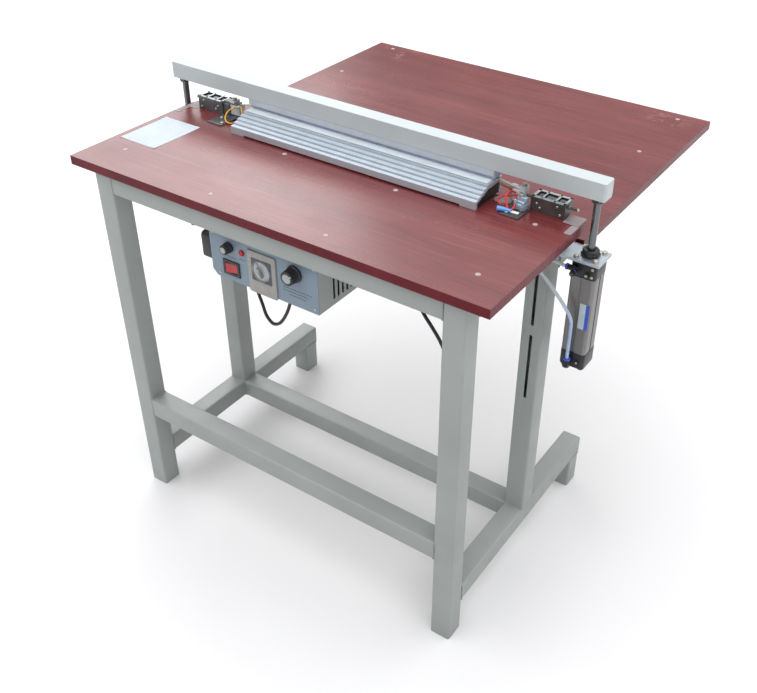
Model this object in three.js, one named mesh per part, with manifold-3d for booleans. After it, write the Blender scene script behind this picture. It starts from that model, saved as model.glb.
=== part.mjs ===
// A table-type pneumatic impulse sealer: a welded tube frame carries a front table with the sealing
// jaw and a lower rear table, and two upright air cylinders pull the press beam down onto the jaw.
// Millimetres. X runs along the jaw to the right, Y to the back, Z up. The origin is on the floor,
// under the middle of the machine.
import * as THREE from 'three';
import * as BufferGeometryUtils from 'three/addons/utils/BufferGeometryUtils.js';
import Module from 'manifold-3d';

const wasm = await Module();
wasm.setup();

// ---------- driving dimensions ----------
const GAP = 0.3; // clearance left between pieces that touch
const OVER = 1; // how far a cutting shape runs past the face that it cuts
const HALF_DEPTH = 465; // the front table's front edge and the rear table's back edge, from the middle
const FRONT_Y = -HALF_DEPTH;

const TUBE = 40; // square tube of the frame
const WALL = 2;
const TUBE_X = 341; // inner side of the legs, posts and side rails
const LEG_Y = -454; // front face of the front legs
const POST_Y = -188; // front face of the rear posts
const BASE_SIDE_Z = 72; // underside of the low side rails
const BASE_FRONT_Z = 193; // underside of the low front rail
const FOOT_Y = 34; // front face of the rear feet
const ARM_END_Y = 450; // back end of the arms under the rear table
const SLOT_WIDTH = 6;
const SLOT_HEIGHTS = [[387, 526], [546, 665]]; // lower and upper end of each post's slots

const BOARD = 16.5;
const TABLE_Z = 755; // top of the front table
const TABLE_WIDTH = 848;
const TABLE_BACK_Y = -160;
const REAR_TABLE_Z = 706;
const REAR_TABLE_WIDTH = 828;
const REAR_TABLE_Y = -135;
const WIRE_HOLE = { x: 300, y: -184, radius: 6 }; // holes for the wires of the heating strip

const JAW_HALF = 261; // half the length of both jaws
const JAW_FRONT_Y = -231;
const JAW_BACK_Y = -148;
const JAW_TOP = 785;
const JAW_FACE_TOP = 770; // top of the plain front face, under the ribs
const JAW_WALL = 5;
const JAW_ROOF = 8;
const JAW_FOOT = 3; // height of the feet that hold the jaw off the board
const JAW_FOOT_LENGTH = 30;
const RIB_Y = -194; // where the ribs end and the flat top begins
const RIBS = 4;
const RIB_UNDERCUT = 1.6;

const SEAL_Y = -162; // the plane of the sealing line, the rods and the cylinders
const BEAM_HALF = 455;
const BEAM = 30; // square section of the press beam
const BEAM_Z = 804; // underside of the press beam
const BEAM_WALL = 2.5;
const UPPER_JAW_HEIGHT = 10.7;
const STRIP = 0.4; // thickness of the heating strip
const STRIP_WIDTH = 6;
const STRIP_END = { x: 304, z: 778.4 }; // where the strip meets its clamps
const CLOTH = 0.3; // thickness of the release cloth
const CLOTH_FRONT_Y = -192; // the cloth covers the jaw's flat top
const CLOTH_BACK_Y = -149;
const PAD_WIDTH = 20;
const GROOVE = 2; // depth of the upper jaw's groove for the pad

const CYLINDER_X = 438.4;
const CYLINDER = 45; // square of the heads and the barrel
const BORE = 32;
const ROD = 12;
const ROD_GAP = 0.4; // clearance round the rod
const HEAD_Z = 667.5; // underside of the upper head
const HEAD_TOP = 694.6;
const NECK_RADIUS = 12.5;
const BASE_Z = 487; // underside of the lower head
const BASE_TOP = 519.5;
const BRACKET_Z = 695;
const BRACKET = 5; // bracket plate thickness
const BRACKET_END = 465;
const FLANGE = 32; // how far the bracket's upright flange stands over its plate
const BOLT_SPACING = 34;
const FLOW_X = 426; // the flow control on the front of the upper head
const FLOW_Z = 679;
const ELBOW_X = 433.5; // the hose elbow on the front of the lower head
const ELBOW_Z = 503;
const PISTON_Z = 620;
const PISTON = 20;

const CASE_LEFT = -129;
const CASE_RIGHT = 101;
const PANEL_Y = -440; // front face of the control panel
const CASE_BACK_Y = -280;
const CASE_Z = 606;
const CASE_TOP = 698.2;
const SHEET = 1.5;
const VALVE = { x0: 150, x1: 232, y0: -248, y1: -212, z0: 704, z1: 738 };
const LOUVRE = { count: 7, y: -401.7, pitch: 11.7, width: 5.4, bottom: 617, top: 676 };
const CORNER_CUT = 10; // the case's lower left corner is cut off by this much
const GLANDS = [[6, -398], [-84, -392]]; // the control lead's two glands under the case
const OUTLET = { y: -310, z: 665, reach: 8 }; // the mains cord's gland on the right side
const SMALL_KNOB = { x: -85.5, z: 672, base: 9.8, tip: 8.8, length: 15 };
const LARGE_KNOB = { x: 54, z: 669, base: 15.5, tip: 13, length: 20 };
const ROCKER = { x: -83.5, z: 631.5 };
const ROCKER_TILT = 0.17; // half of the rocker's travel, in radians
const TIMER = { x: -14.5, z: 643, dialZ: 650 };
const PILOT = { x: -57.5, z: 669.5 };

const BLOCK_X = 331; // inner end of a tension block
const BLOCK_END = 392;
const BLOCK_TOP = 780;
const BLOCK_FRONT_Y = -177;
const BLOCK_BACK_Y = -147;
const PULL_Z = 771; // height of the pull rod
const COLLAR_X = 373; // inner face of the collar on the pull rod
const SPRING_RADIUS = 4.3;
const SPRING_WIRE = 1.2;
const SPRING_TURNS = 7;

const CORD = 6; // mains cord diameter
const HOSE = 6;
const FLOOR_CORD_Z = CORD / 2 + GAP;
const COIL = { x: -212, y: 542, inner: 22, outer: 42, height: 12.6 };
const PLUG = { y: 582, z: 13, boot: -234, shoulder: -258, end: -290, tip: -308, halfWidth: 12 };

// ---------- materials ----------
const finish = (color, roughness, metalness = 0) => ({ color, roughness, metalness });
const PAINT = finish(0x9aa49f, 0.45, 0.2);
const LAMINATE = finish(0x7a2f2c, 0.3);
const ALUMINIUM = finish(0xc4ccd2, 0.35, 0.9);
const STEEL = finish(0x8d9296, 0.35, 0.9);
const DARK_STEEL = finish(0x3d3f42, 0.5, 0.7);
const BLACK = finish(0x151618, 0.5);
const PANEL_PAINT = finish(0x8ea3b3, 0.5, 0.1);
const RED = finish(0xb5202a, 0.3);
const BEIGE = finish(0xb9ada3, 0.5);
const DIAL = finish(0xcfd4d2, 0.1);
const SILICONE = finish(0x8c97ad, 0.7);
const CLOTH_WHITE = finish(0xd9e0e4, 0.6);
const CERAMIC = finish(0xdfe2e2, 0.4);
const COPPER = finish(0xa7664a, 0.5, 0.6);
const HOSE_BLUE = finish(0xa9c4de, 0.3);

// ---------- shape helpers ----------
const group = new THREE.Group();

function add(name, geometry, look) {
  const mesh = new THREE.Mesh(geometry, new THREE.MeshStandardMaterial(look));
  mesh.name = name;
  group.add(mesh);
}

function box(x0, x1, y0, y1, z0, z1) {
  const geometry = new THREE.BoxGeometry(x1 - x0, y1 - y0, z1 - z0);
  return geometry.translate((x0 + x1) / 2, (y0 + y1) / 2, (z0 + z1) / 2);
}

// A round bar along one axis, between two places on that axis; at holds its other two coordinates.
function round(axis, from, to, radius, at, sides = 24, endRadius = radius) {
  const geometry = new THREE.CylinderGeometry(endRadius, radius, to - from, sides);
  const middle = (from + to) / 2;
  if (axis === 'x') return geometry.rotateZ(-Math.PI / 2).translate(middle, at[0], at[1]);
  if (axis === 'y') return geometry.translate(at[0], middle, at[1]);
  return geometry.rotateX(Math.PI / 2).translate(at[0], at[1], middle);
}

// A profile drawn in Y and Z, made solid from x0 to x1.
function alongX(shape, x0, x1) {
  const geometry = new THREE.ExtrudeGeometry(shape, { depth: x1 - x0, bevelEnabled: false });
  return geometry.rotateX(Math.PI / 2).rotateZ(Math.PI / 2).translate(x0, 0, 0);
}

// A profile drawn in X and Z, made solid from y0 to y1.
function alongY(shape, y0, y1) {
  const geometry = new THREE.ExtrudeGeometry(shape, { depth: y1 - y0, bevelEnabled: false });
  return geometry.rotateX(Math.PI / 2).translate(0, y1, 0);
}

// A profile drawn in X and Y, made solid from z0 to z1.
function alongZ(shape, z0, z1) {
  const options = { depth: z1 - z0, bevelEnabled: false, curveSegments: 6 };
  const geometry = new THREE.ExtrudeGeometry(shape, options);
  return geometry.translate(0, 0, z0);
}

function outline(points) {
  return new THREE.Shape(points.map(([x, y]) => new THREE.Vector2(x, y)));
}

function roundedRect(x0, x1, y0, y1, radius) {
  const shape = new THREE.Shape();
  shape.absarc(x1 - radius, y0 + radius, radius, -Math.PI / 2, 0);
  shape.absarc(x1 - radius, y1 - radius, radius, 0, Math.PI / 2);
  shape.absarc(x0 + radius, y1 - radius, radius, Math.PI / 2, Math.PI);
  shape.absarc(x0 + radius, y0 + radius, radius, Math.PI, Math.PI * 1.5);
  return shape;
}

// A solid of revolution about a vertical axis through (x, y).
function turned(profile, x, y, sides = 24) {
  const points = profile.map(([r, z]) => new THREE.Vector2(r, z));
  return new THREE.LatheGeometry(points, sides).rotateX(Math.PI / 2).translate(x, y, 0);
}

function smoothCurve(points) {
  return new THREE.CatmullRomCurve3(points.map((p) => new THREE.Vector3(...p)), false, 'centripetal');
}

function swept(points, diameter, steps, sides = 8) {
  const section = new THREE.Shape();
  for (let i = 0; i < sides; i += 1) {
    const angle = (i / sides) * 2 * Math.PI;
    const [x, y] = [Math.cos(angle) * diameter / 2, Math.sin(angle) * diameter / 2];
    if (i === 0) section.moveTo(x, y);
    else section.lineTo(x, y);
  }
  const extrudePath = smoothCurve(points);
  return new THREE.ExtrudeGeometry(section, { steps, bevelEnabled: false, extrudePath });
}

function solid(geometry) {
  const bare = geometry.clone();
  bare.deleteAttribute('normal');
  bare.deleteAttribute('uv');
  const merged = BufferGeometryUtils.mergeVertices(bare, 1e-3);
  return new wasm.Manifold(new wasm.Mesh({
    numProp: 3,
    vertProperties: new Float32Array(merged.attributes.position.array),
    triVerts: new Uint32Array(merged.index.array),
  }));
}

function surface(body) {
  const mesh = body.getMesh();
  const geometry = new THREE.BufferGeometry();
  geometry.setAttribute('position', new THREE.BufferAttribute(new Float32Array(mesh.vertProperties), 3));
  geometry.setIndex(new THREE.BufferAttribute(new Uint32Array(mesh.triVerts), 1));
  geometry.computeVertexNormals();
  return geometry;
}

// Joins the first list of shapes and cuts the second list out of them.
function shaped(joined, cuts = []) {
  let body = solid(joined[0]);
  for (const geometry of joined.slice(1)) body = body.add(solid(geometry));
  for (const geometry of cuts) body = body.subtract(solid(geometry));
  return surface(body);
}

function mirrored(geometry) {
  const copy = geometry.index ? geometry.toNonIndexed() : geometry.clone();
  const position = copy.attributes.position;
  for (let i = 0; i < position.count; i += 3) {
    const [a, b] = [i + 1, i + 2].map((k) => new THREE.Vector3().fromBufferAttribute(position, k));
    const first = new THREE.Vector3().fromBufferAttribute(position, i);
    position.setXYZ(i, -first.x, first.y, first.z);
    position.setXYZ(i + 1, -b.x, b.y, b.z);
    position.setXYZ(i + 2, -a.x, a.y, a.z);
  }
  copy.computeVertexNormals();
  return copy;
}

// Adds a right-hand piece and its mirror image.
function addPair(name, geometry, look) {
  add(`${name}_right`, geometry, look);
  add(`${name}_left`, mirrored(geometry), look);
}

// A square tube with open ends, as the box it fills and the bore through it.
function tube(x0, x1, y0, y1, z0, z1, axis) {
  const inset = { x: [0, WALL, WALL], y: [WALL, 0, WALL], z: [WALL, WALL, 0] }[axis];
  const over = { x: [OVER, 0, 0], y: [0, OVER, 0], z: [0, 0, OVER] }[axis];
  const bore = box(
    x0 + inset[0] - over[0], x1 - inset[0] + over[0],
    y0 + inset[1] - over[1], y1 - inset[1] + over[1],
    z0 + inset[2] - over[2], z1 - inset[2] + over[2],
  );
  return { outer: box(x0, x1, y0, y1, z0, z1), bore };
}

function tubePiece(...size) {
  const { outer, bore } = tube(...size);
  return shaped([outer], [bore]);
}

// ---------- welded frame ----------
function buildFrame() {
  const [inner, outer] = [TUBE_X, TUBE_X + TUBE];
  const underBoard = TABLE_Z - BOARD - GAP;
  const railZ = underBoard - TUBE;
  const legBack = LEG_Y + TUBE;
  const postBack = POST_Y + TUBE;

  const leg = box(inner, outer, LEG_Y, legBack, 0, underBoard);
  const legBore = box(inner + WALL, outer - WALL, LEG_Y + WALL, legBack - WALL, WALL, underBoard + OVER);
  addPair('leg_front', shaped([leg], [legBore]), PAINT);

  // each rear post has two long slots in its front wall
  const post = tube(inner, outer, POST_Y, postBack, BASE_SIDE_Z + TUBE + GAP, underBoard, 'z');
  const middle = (inner + outer) / 2;
  const slots = SLOT_HEIGHTS.map(([z0, z1]) => box(
    middle - SLOT_WIDTH / 2, middle + SLOT_WIDTH / 2, POST_Y - OVER, POST_Y + WALL + OVER, z0, z1,
  ));
  addPair('post_rear', shaped([post.outer], [post.bore, ...slots]), PAINT);

  add('top_rail_front', tubePiece(GAP - inner, inner - GAP, LEG_Y, legBack, railZ, underBoard, 'x'), PAINT);
  add('top_rail_rear', tubePiece(GAP - inner, inner - GAP, POST_Y, postBack, railZ, underBoard, 'x'), PAINT);
  addPair('top_rail', tubePiece(inner, outer, legBack + GAP, POST_Y - GAP, railZ, underBoard, 'y'), PAINT);

  add('base_rail_front', tubePiece(
    GAP - inner, inner - GAP, LEG_Y, legBack, BASE_FRONT_Z, BASE_FRONT_Z + TUBE, 'x',
  ), PAINT);
  add('base_rail_rear', tubePiece(
    GAP - inner, inner - GAP, POST_Y, postBack, BASE_SIDE_Z, BASE_SIDE_Z + TUBE, 'x',
  ), PAINT);

  // each low side rail ends in a short foot; the rail's back end is open
  const footBack = FOOT_Y + TUBE;
  const rail = tube(inner, outer, legBack + GAP, footBack, BASE_SIDE_Z, BASE_SIDE_Z + TUBE, 'y');
  const foot = box(inner, outer, FOOT_Y, footBack, 0, BASE_SIDE_Z + WALL / 2);
  const footBore = box(
    inner + WALL, outer - WALL, FOOT_Y + WALL, footBack - WALL, WALL, BASE_SIDE_Z + WALL + OVER,
  );
  addPair('base_rail', shaped([rail.outer, foot], [rail.bore, footBore]), PAINT);

  const armTop = REAR_TABLE_Z - BOARD - GAP;
  addPair('rear_arm', tubePiece(inner, outer, postBack + GAP, ARM_END_Y, armTop - TUBE, armTop, 'y'), PAINT);
}

// ---------- table tops ----------
function buildTables() {
  const half = TABLE_WIDTH / 2;
  const { x, y, radius } = WIRE_HOLE;
  const wireHole = (at) => round('z', TABLE_Z - BOARD - OVER, TABLE_Z + OVER, radius, [at, y], 12);
  add('front_table_top', shaped(
    [box(-half, half, FRONT_Y, TABLE_BACK_Y, TABLE_Z - BOARD, TABLE_Z)],
    [wireHole(-x), wireHole(x)],
  ), LAMINATE);

  const rearHalf = REAR_TABLE_WIDTH / 2;
  const rearTable = box(-rearHalf, rearHalf, REAR_TABLE_Y, HALF_DEPTH, REAR_TABLE_Z - BOARD, REAR_TABLE_Z);
  add('rear_table_top', rearTable, LAMINATE);
}

// ---------- lower jaw, heating strip and release cloth ----------
// The jaw's section: a flat top, ribs that step down to the front, and a hollow that is open below.
function jawProfile() {
  const lowest = TABLE_Z + JAW_FOOT;
  const roof = JAW_TOP - JAW_ROOF;
  const stepY = (RIB_Y - JAW_FRONT_Y) / RIBS;
  const stepZ = (JAW_TOP - JAW_FACE_TOP) / RIBS;
  const points = [[JAW_BACK_Y, lowest], [JAW_BACK_Y, JAW_TOP], [RIB_Y, JAW_TOP]];
  for (let i = 0; i < RIBS; i += 1) {
    const [y, z] = [RIB_Y - i * stepY, JAW_TOP - (i + 1) * stepZ];
    points.push([y, z - 1.2], [y - RIB_UNDERCUT, z - 1.2]);
    points.push([y - RIB_UNDERCUT, z + 0.2], [y - stepY, z - 0.4]);
  }
  points.push([JAW_FRONT_Y, lowest], [JAW_FRONT_Y + JAW_WALL, lowest]);
  points.push([JAW_FRONT_Y + JAW_WALL, JAW_FACE_TOP - 6], [RIB_Y + 3, roof]);
  points.push([JAW_BACK_Y - JAW_WALL, roof], [JAW_BACK_Y - JAW_WALL, lowest]);
  return outline(points);
}

function buildLowerJaw() {
  const feet = [];
  for (const [y0, y1] of [[JAW_FRONT_Y, JAW_FRONT_Y + 6], [JAW_BACK_Y - 6, JAW_BACK_Y]]) {
    for (const x of [-JAW_HALF, JAW_HALF - JAW_FOOT_LENGTH]) {
      feet.push(box(x, x + JAW_FOOT_LENGTH, y0, y1, TABLE_Z + GAP, TABLE_Z + 2 * JAW_FOOT));
    }
  }
  add('lower_jaw', shaped([alongX(jawProfile(), -JAW_HALF, JAW_HALF), ...feet]), ALUMINIUM);

  // the strip runs flat over the jaw, then down at each end to the clamp of the tension slide
  const [bottom, top] = [JAW_TOP + GAP, JAW_TOP + GAP + STRIP];
  const edge = JAW_HALF + 1;
  const ribbon = outline([
    [-edge, bottom], [-STRIP_END.x, STRIP_END.z], [-STRIP_END.x, STRIP_END.z + STRIP], [-edge, top],
    [edge, top], [STRIP_END.x, STRIP_END.z + STRIP], [STRIP_END.x, STRIP_END.z], [edge, bottom],
  ]);
  const strip = new THREE.ExtrudeGeometry(ribbon, { depth: STRIP_WIDTH, bevelEnabled: false });
  add('heating_strip', strip.rotateX(Math.PI / 2).translate(0, SEAL_Y + STRIP_WIDTH / 2, 0), STEEL);

  const [clothZ, clothEnd] = [top + GAP, JAW_HALF - 3];
  add('release_cloth', box(
    -clothEnd, clothEnd, CLOTH_FRONT_Y, CLOTH_BACK_Y, clothZ, clothZ + CLOTH,
  ), CLOTH_WHITE);
}

// ---------- press beam with the upper jaw ----------
function buildPressBeam() {
  const [front, back] = [SEAL_Y - BEAM / 2, SEAL_Y + BEAM / 2];
  const top = BEAM_Z + BEAM;
  const section = roundedRect(-BEAM_HALF, BEAM_HALF, front, back, 4);
  const inside = box(
    -BEAM_HALF + BEAM_WALL, BEAM_HALF - BEAM_WALL,
    front + BEAM_WALL, back - BEAM_WALL, BEAM_Z + BEAM_WALL, top - BEAM_WALL,
  );
  const rodHole = (x) => round(
    'z', BEAM_Z - OVER, BEAM_Z + BEAM_WALL + OVER, ROD / 2 + ROD_GAP, [x, SEAL_Y],
  );
  add('press_beam', shaped(
    [alongZ(section, BEAM_Z, top)],
    [inside, rodHole(-CYLINDER_X), rodHole(CYLINDER_X)],
  ), PAINT);

  // the upper jaw holds a silicone pad in a groove; the pad rests on the release cloth
  const jawTop = BEAM_Z - GAP;
  const jawZ = jawTop - UPPER_JAW_HEIGHT;
  const halfPad = PAD_WIDTH / 2;
  const groove = box(
    -JAW_HALF - OVER, JAW_HALF + OVER, SEAL_Y - halfPad - GAP, SEAL_Y + halfPad + GAP,
    jawZ - OVER, jawZ + GROOVE,
  );
  add('upper_jaw', shaped([box(-JAW_HALF, JAW_HALF, front, back, jawZ, jawTop)], [groove]), ALUMINIUM);

  const padZ = JAW_TOP + STRIP + CLOTH + 3 * GAP;
  add('jaw_pad', box(
    -JAW_HALF, JAW_HALF, SEAL_Y - halfPad, SEAL_Y + halfPad, padZ, jawZ + GROOVE - GAP,
  ), SILICONE);
}

// ---------- air cylinders ----------
function squareBar(side, corner, z0, z1) {
  const half = side / 2;
  const section = roundedRect(
    CYLINDER_X - half, CYLINDER_X + half, SEAL_Y - half, SEAL_Y + half, corner,
  );
  return alongZ(section, z0, z1);
}

function buildBarrel(at) {
  // long grooves down the four sides of the barrel
  const [middle, depth] = [CYLINDER / 2, 2];
  const groove = ([dx, dy]) => box(
    CYLINDER_X + dx * middle - depth, CYLINDER_X + dx * middle + depth,
    SEAL_Y + dy * middle - depth, SEAL_Y + dy * middle + depth, BASE_TOP, HEAD_Z,
  );
  addPair('cylinder_barrel', shaped(
    [squareBar(CYLINDER - 1, 6, BASE_TOP + GAP, HEAD_Z - GAP)],
    [
      ...[[1, 0], [-1, 0], [0, 1], [0, -1]].map(groove),
      round('z', BASE_TOP, HEAD_Z, BORE / 2 + GAP, at, 32),
    ],
  ), ALUMINIUM);
}

// The upper head, its neck and neck nut above the plate, and the body of its flow control.
function buildHead(at) {
  const face = SEAL_Y - CYLINDER / 2;
  const plateTop = BRACKET_Z + BRACKET;
  const [hoseY, hoseZ] = [face - 7, FLOW_Z + 6];
  addPair('cylinder_head', shaped(
    [
      squareBar(CYLINDER, 5, HEAD_Z, HEAD_TOP),
      round('z', HEAD_TOP - 1, plateTop + 8, NECK_RADIUS, at, 24),
      round('z', plateTop + GAP, plateTop + 7, 15.5, at, 8),
      round('z', plateTop + 6, plateTop + 12, 14, at, 24, 11),
      round('y', face - 12, face + 2, 5, [FLOW_X, FLOW_Z], 12),
      round('x', FLOW_X - 12, FLOW_X + 1, 4.5, [hoseY, hoseZ], 12),
    ],
    [
      round('z', HEAD_Z - OVER, plateTop + 20, ROD / 2 + ROD_GAP, at, 24),
      round('x', FLOW_X - 12 - OVER, FLOW_X - 8, HOSE / 2 + GAP, [hoseY, hoseZ], 12),
    ],
  ), BLACK);
  addPair('flow_knob', round('y', face - 18, face - 12 - GAP, 4.2, [FLOW_X, FLOW_Z], 16), BLACK);
}

// The lower head, closed below, with the elbow that its hose plugs into.
function buildBase(at) {
  const face = SEAL_Y - CYLINDER / 2;
  const elbowY = face - 8;
  addPair('cylinder_base', shaped(
    [
      squareBar(CYLINDER, 5, BASE_Z, BASE_TOP),
      round('y', face - 12, face + 2, 5, [ELBOW_X, ELBOW_Z], 12),
      round('z', ELBOW_Z - 5, ELBOW_Z + 11, 5, [ELBOW_X, elbowY], 12),
    ],
    [
      round('z', BASE_TOP - 4, BASE_TOP + OVER, BORE / 2 - 4, at, 24),
      round('z', ELBOW_Z + 6, ELBOW_Z + 11 + OVER, HOSE / 2 + GAP, [ELBOW_X, elbowY], 12),
    ],
  ), BLACK);
}

// The rod, its piston below and its jam nut under the beam.
function buildRod(at) {
  const pistonTop = PISTON_Z + PISTON;
  const [radius, pistonRadius, rodTop] = [ROD / 2, BORE / 2 - GAP, BEAM_Z + 14];
  const rod = turned([
    [0, PISTON_Z], [pistonRadius, PISTON_Z], [pistonRadius, pistonTop], [radius, pistonTop],
    [radius, rodTop - 1], [radius - 1, rodTop], [0, rodTop],
  ], ...at);
  const nut = round('z', BEAM_Z - GAP - 7, BEAM_Z - GAP, 10.4, at, 6);
  addPair('piston_rod', shaped([rod, nut]), STEEL);
}

// An angle bracket: its plate holds the cylinder and its upright flange is bolted to the post.
function buildBracket(at) {
  const plateTop = BRACKET_Z + BRACKET;
  const [inner, front, back] = [TUBE_X + TUBE + GAP, SEAL_Y - 25, SEAL_Y + 24];
  const half = BOLT_SPACING / 2;
  const bolts = [-half, half].flatMap((dx) => [-half, half].map((dy) => [at[0] + dx, at[1] + dy]));
  addPair('mounting_bracket', shaped(
    [
      box(inner, BRACKET_END, front, back, BRACKET_Z, plateTop),
      box(inner, inner + BRACKET, front, back, BRACKET_Z, plateTop + FLANGE),
      ...bolts.map((place) => round('z', plateTop - 1, plateTop + 4, 4.2, place, 6)),
    ],
    [round('z', BRACKET_Z - OVER, plateTop + OVER, NECK_RADIUS + GAP, at, 24)],
  ), STEEL);
}

function buildCylinder() {
  const at = [CYLINDER_X, SEAL_Y];
  buildBarrel(at);
  buildHead(at);
  buildBase(at);
  buildRod(at);
  buildBracket(at);
}

// ---------- air supply under the table ----------
// Each cylinder has a hose to its lower head and one to its flow control; both come from the valve.
function hoseRoutes() {
  const face = SEAL_Y - CYLINDER / 2;
  const [lowY, lowZ] = [face - 8, 711];
  const [highY, highZ] = [face - 7, 728];
  const [valveLowY, valveHighY] = [lowY - 30, highY - 45];
  const fromElbow = [
    [ELBOW_X, lowY, ELBOW_Z + 6.3], [ELBOW_X, lowY, 530], [ELBOW_X, lowY, 565],
    [ELBOW_X - 1, lowY - 2, 590], [420, lowY - 6, 614], [398, lowY - 8, 640], [374, lowY - 8, 662],
    [340, lowY - 10, 683], [300, lowY - 18, 694],
  ];
  const fromFlowControl = [
    [FLOW_X - 8.3, highY, FLOW_Z + 6], [406, highY, FLOW_Z + 6], [388, highY - 1, 688],
    [366, highY - 5, 690], [336, highY - 13, 692], [304, highY - 33, 704],
  ];
  const flip = ([x, y, z]) => [-x, y, z];
  const across = (y, z) => [
    [-150, y, z - 8], [-40, y, z - 10], [60, y, z - 8], [110, y, z - 2], [134, y, z], [VALVE.x0 - GAP, y, z],
  ];
  return {
    lowerRight: [
      ...fromElbow, [268, lowY - 28, 707], [248, valveLowY, lowZ], [VALVE.x1 + GAP, valveLowY, lowZ],
    ],
    upperRight: [
      ...fromFlowControl, [272, highY - 43, 722], [248, valveHighY, highZ],
      [VALVE.x1 + GAP, valveHighY, highZ],
    ],
    lowerLeft: [...fromElbow.map(flip), ...across(valveLowY, lowZ)],
    upperLeft: [...fromFlowControl.map(flip), ...across(valveHighY, highZ)],
  };
}

function buildAirSupply() {
  const { x0, x1, y0, y1, z0, z1 } = VALVE;
  const middle = (y0 + y1) / 2;
  add('solenoid_valve', shaped([
    box(x0 + 4, x1 - 26, y0, y1, z0, z1),
    box(x1 - 26, x1, y0 + 4, y1 - 4, z0 + 2, z1 - 2),
    box(x0, x0 + 5, y0 + 4, y1 - 4, z0 + 2, z1 - 2),
    round('z', z0 - 12, z0 + 1, 6, [(x0 + x1) / 2 - 10, middle], 12),
  ]), ALUMINIUM);

  const routes = hoseRoutes();
  add('lower_air_hose_right', swept(routes.lowerRight, HOSE, 32), HOSE_BLUE);
  add('lower_air_hose_left', swept(routes.lowerLeft, HOSE, 50), HOSE_BLUE);
  add('upper_air_hose_right', swept(routes.upperRight, HOSE, 22), HOSE_BLUE);
  add('upper_air_hose_left', swept(routes.upperLeft, HOSE, 42), HOSE_BLUE);
}

// ---------- control box ----------
// The box's section in X and Z with its lower left corner cut off, each side moved in by the inset.
function caseSection(inset) {
  const [left, right] = [CASE_LEFT + inset, CASE_RIGHT - inset];
  const [low, high] = [CASE_Z + inset, CASE_TOP - inset];
  const cut = CORNER_CUT - (2 - Math.SQRT2) * inset;
  return outline([[left + cut, low], [right, low], [right, high], [left, high], [left, low + cut]]);
}

function buildCase() {
  const front = PANEL_Y + SHEET + GAP;
  const louvres = [];
  for (let i = 0; i < LOUVRE.count; i += 1) {
    const y = LOUVRE.y + i * LOUVRE.pitch;
    louvres.push(box(
      CASE_RIGHT - SHEET - OVER, CASE_RIGHT + OVER, y, y + LOUVRE.width, LOUVRE.bottom, LOUVRE.top,
    ));
  }
  const { y, z, reach } = OUTLET;
  add('control_case', shaped(
    [
      alongY(caseSection(0), front, CASE_BACK_Y),
      ...GLANDS.map((place) => round('z', CASE_Z - 9, CASE_Z + 1, 6, place, 12)),
      round('x', CASE_RIGHT - 1, CASE_RIGHT + reach, 6.5, [y, z], 12),
    ],
    [
      alongY(caseSection(SHEET), front - OVER, CASE_BACK_Y - SHEET),
      round('x', CASE_RIGHT - 4, CASE_RIGHT + reach + OVER, CORD / 2 + GAP, [y, z], 12),
      ...louvres,
    ],
  ), PAINT);
}

function buildPanel() {
  const [front, back] = [PANEL_Y - OVER, PANEL_Y + SHEET + OVER];
  const opening = ({ x, z }, halfWidth, halfHeight) => box(
    x - halfWidth, x + halfWidth, front, back, z - halfHeight, z + halfHeight,
  );
  const hole = ({ x, z }, radius) => round('y', front, back, radius, [x, z], 16);
  add('control_panel', shaped(
    [alongY(caseSection(0), PANEL_Y, PANEL_Y + SHEET)],
    [
      opening(ROCKER, 15, 11), opening(TIMER, 22, 30),
      hole(SMALL_KNOB, 4), hole(LARGE_KNOB, 4), hole(PILOT, 4.3),
    ],
  ), PANEL_PAINT);

  const lens = [PILOT.x, PILOT.z];
  add('pilot_lamp', shaped([
    round('y', PANEL_Y - 6, PANEL_Y - 2, 3.6, lens, 16, 5),
    round('y', PANEL_Y - 2.3, PANEL_Y - GAP, 5.6, lens, 16),
    round('y', PANEL_Y - 1, PANEL_Y + 14, 4, lens, 16),
  ]), RED);
}

function buildCaseContents() {
  // laminated core with the two windings bulging out of it
  const core = box(20, 90, -372, -296, 612, 676);
  const windings = box(34, 76, -386, -282.5, 624, 664);
  add('transformer', shaped([core, windings]), COPPER);

  // angled mains connector in the left side of the case
  add('mains_connector', shaped([
    alongZ(roundedRect(-155, CASE_LEFT - GAP, -437, -409, 4), 630, 680),
    round('y', -410, -388, 6.5, [-143, 640], 12),
  ]), BLACK);

  // a lead that hangs in a loop between two glands under the case
  const [[rightX, rightY], [leftX, leftY]] = GLANDS;
  const top = CASE_Z - 9 - GAP;
  add('control_lead', swept([
    [rightX, rightY, top], [rightX, rightY, 586], [0.5, -399, 562], [-9, -400, 540], [-24, -400, 519],
    [-40, -399, 512], [-54, -398, 522], [-64, -396, 543], [-77, -393, 568], [leftX, leftY, 586],
    [leftX, leftY, top],
  ], CORD, 36, 10), BLACK);
}

// A knob with finger flutes round it, a skirt at its base and a shaft through the panel.
function buildKnob(name, { x, z, base, tip, length }) {
  const [foot, end] = [PANEL_Y - 1, PANEL_Y - 1 - length];
  const flutes = [];
  for (let i = 0; i < 12; i += 1) {
    const angle = (i / 12) * 2 * Math.PI;
    const [fx, fz] = [x + Math.cos(angle) * (tip + 1.2), z + Math.sin(angle) * (tip + 1.2)];
    flutes.push(round('y', end - OVER, foot - 4, 2, [fx, fz], 6));
  }
  add(name, shaped(
    [
      round('y', end, foot, tip, [x, z], 36, base - 1),
      round('y', foot - 3, foot, base, [x, z], 36),
      round('y', foot - 1, PANEL_Y + 12, 3, [x, z], 12),
    ],
    flutes,
  ), BLACK);
}

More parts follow.
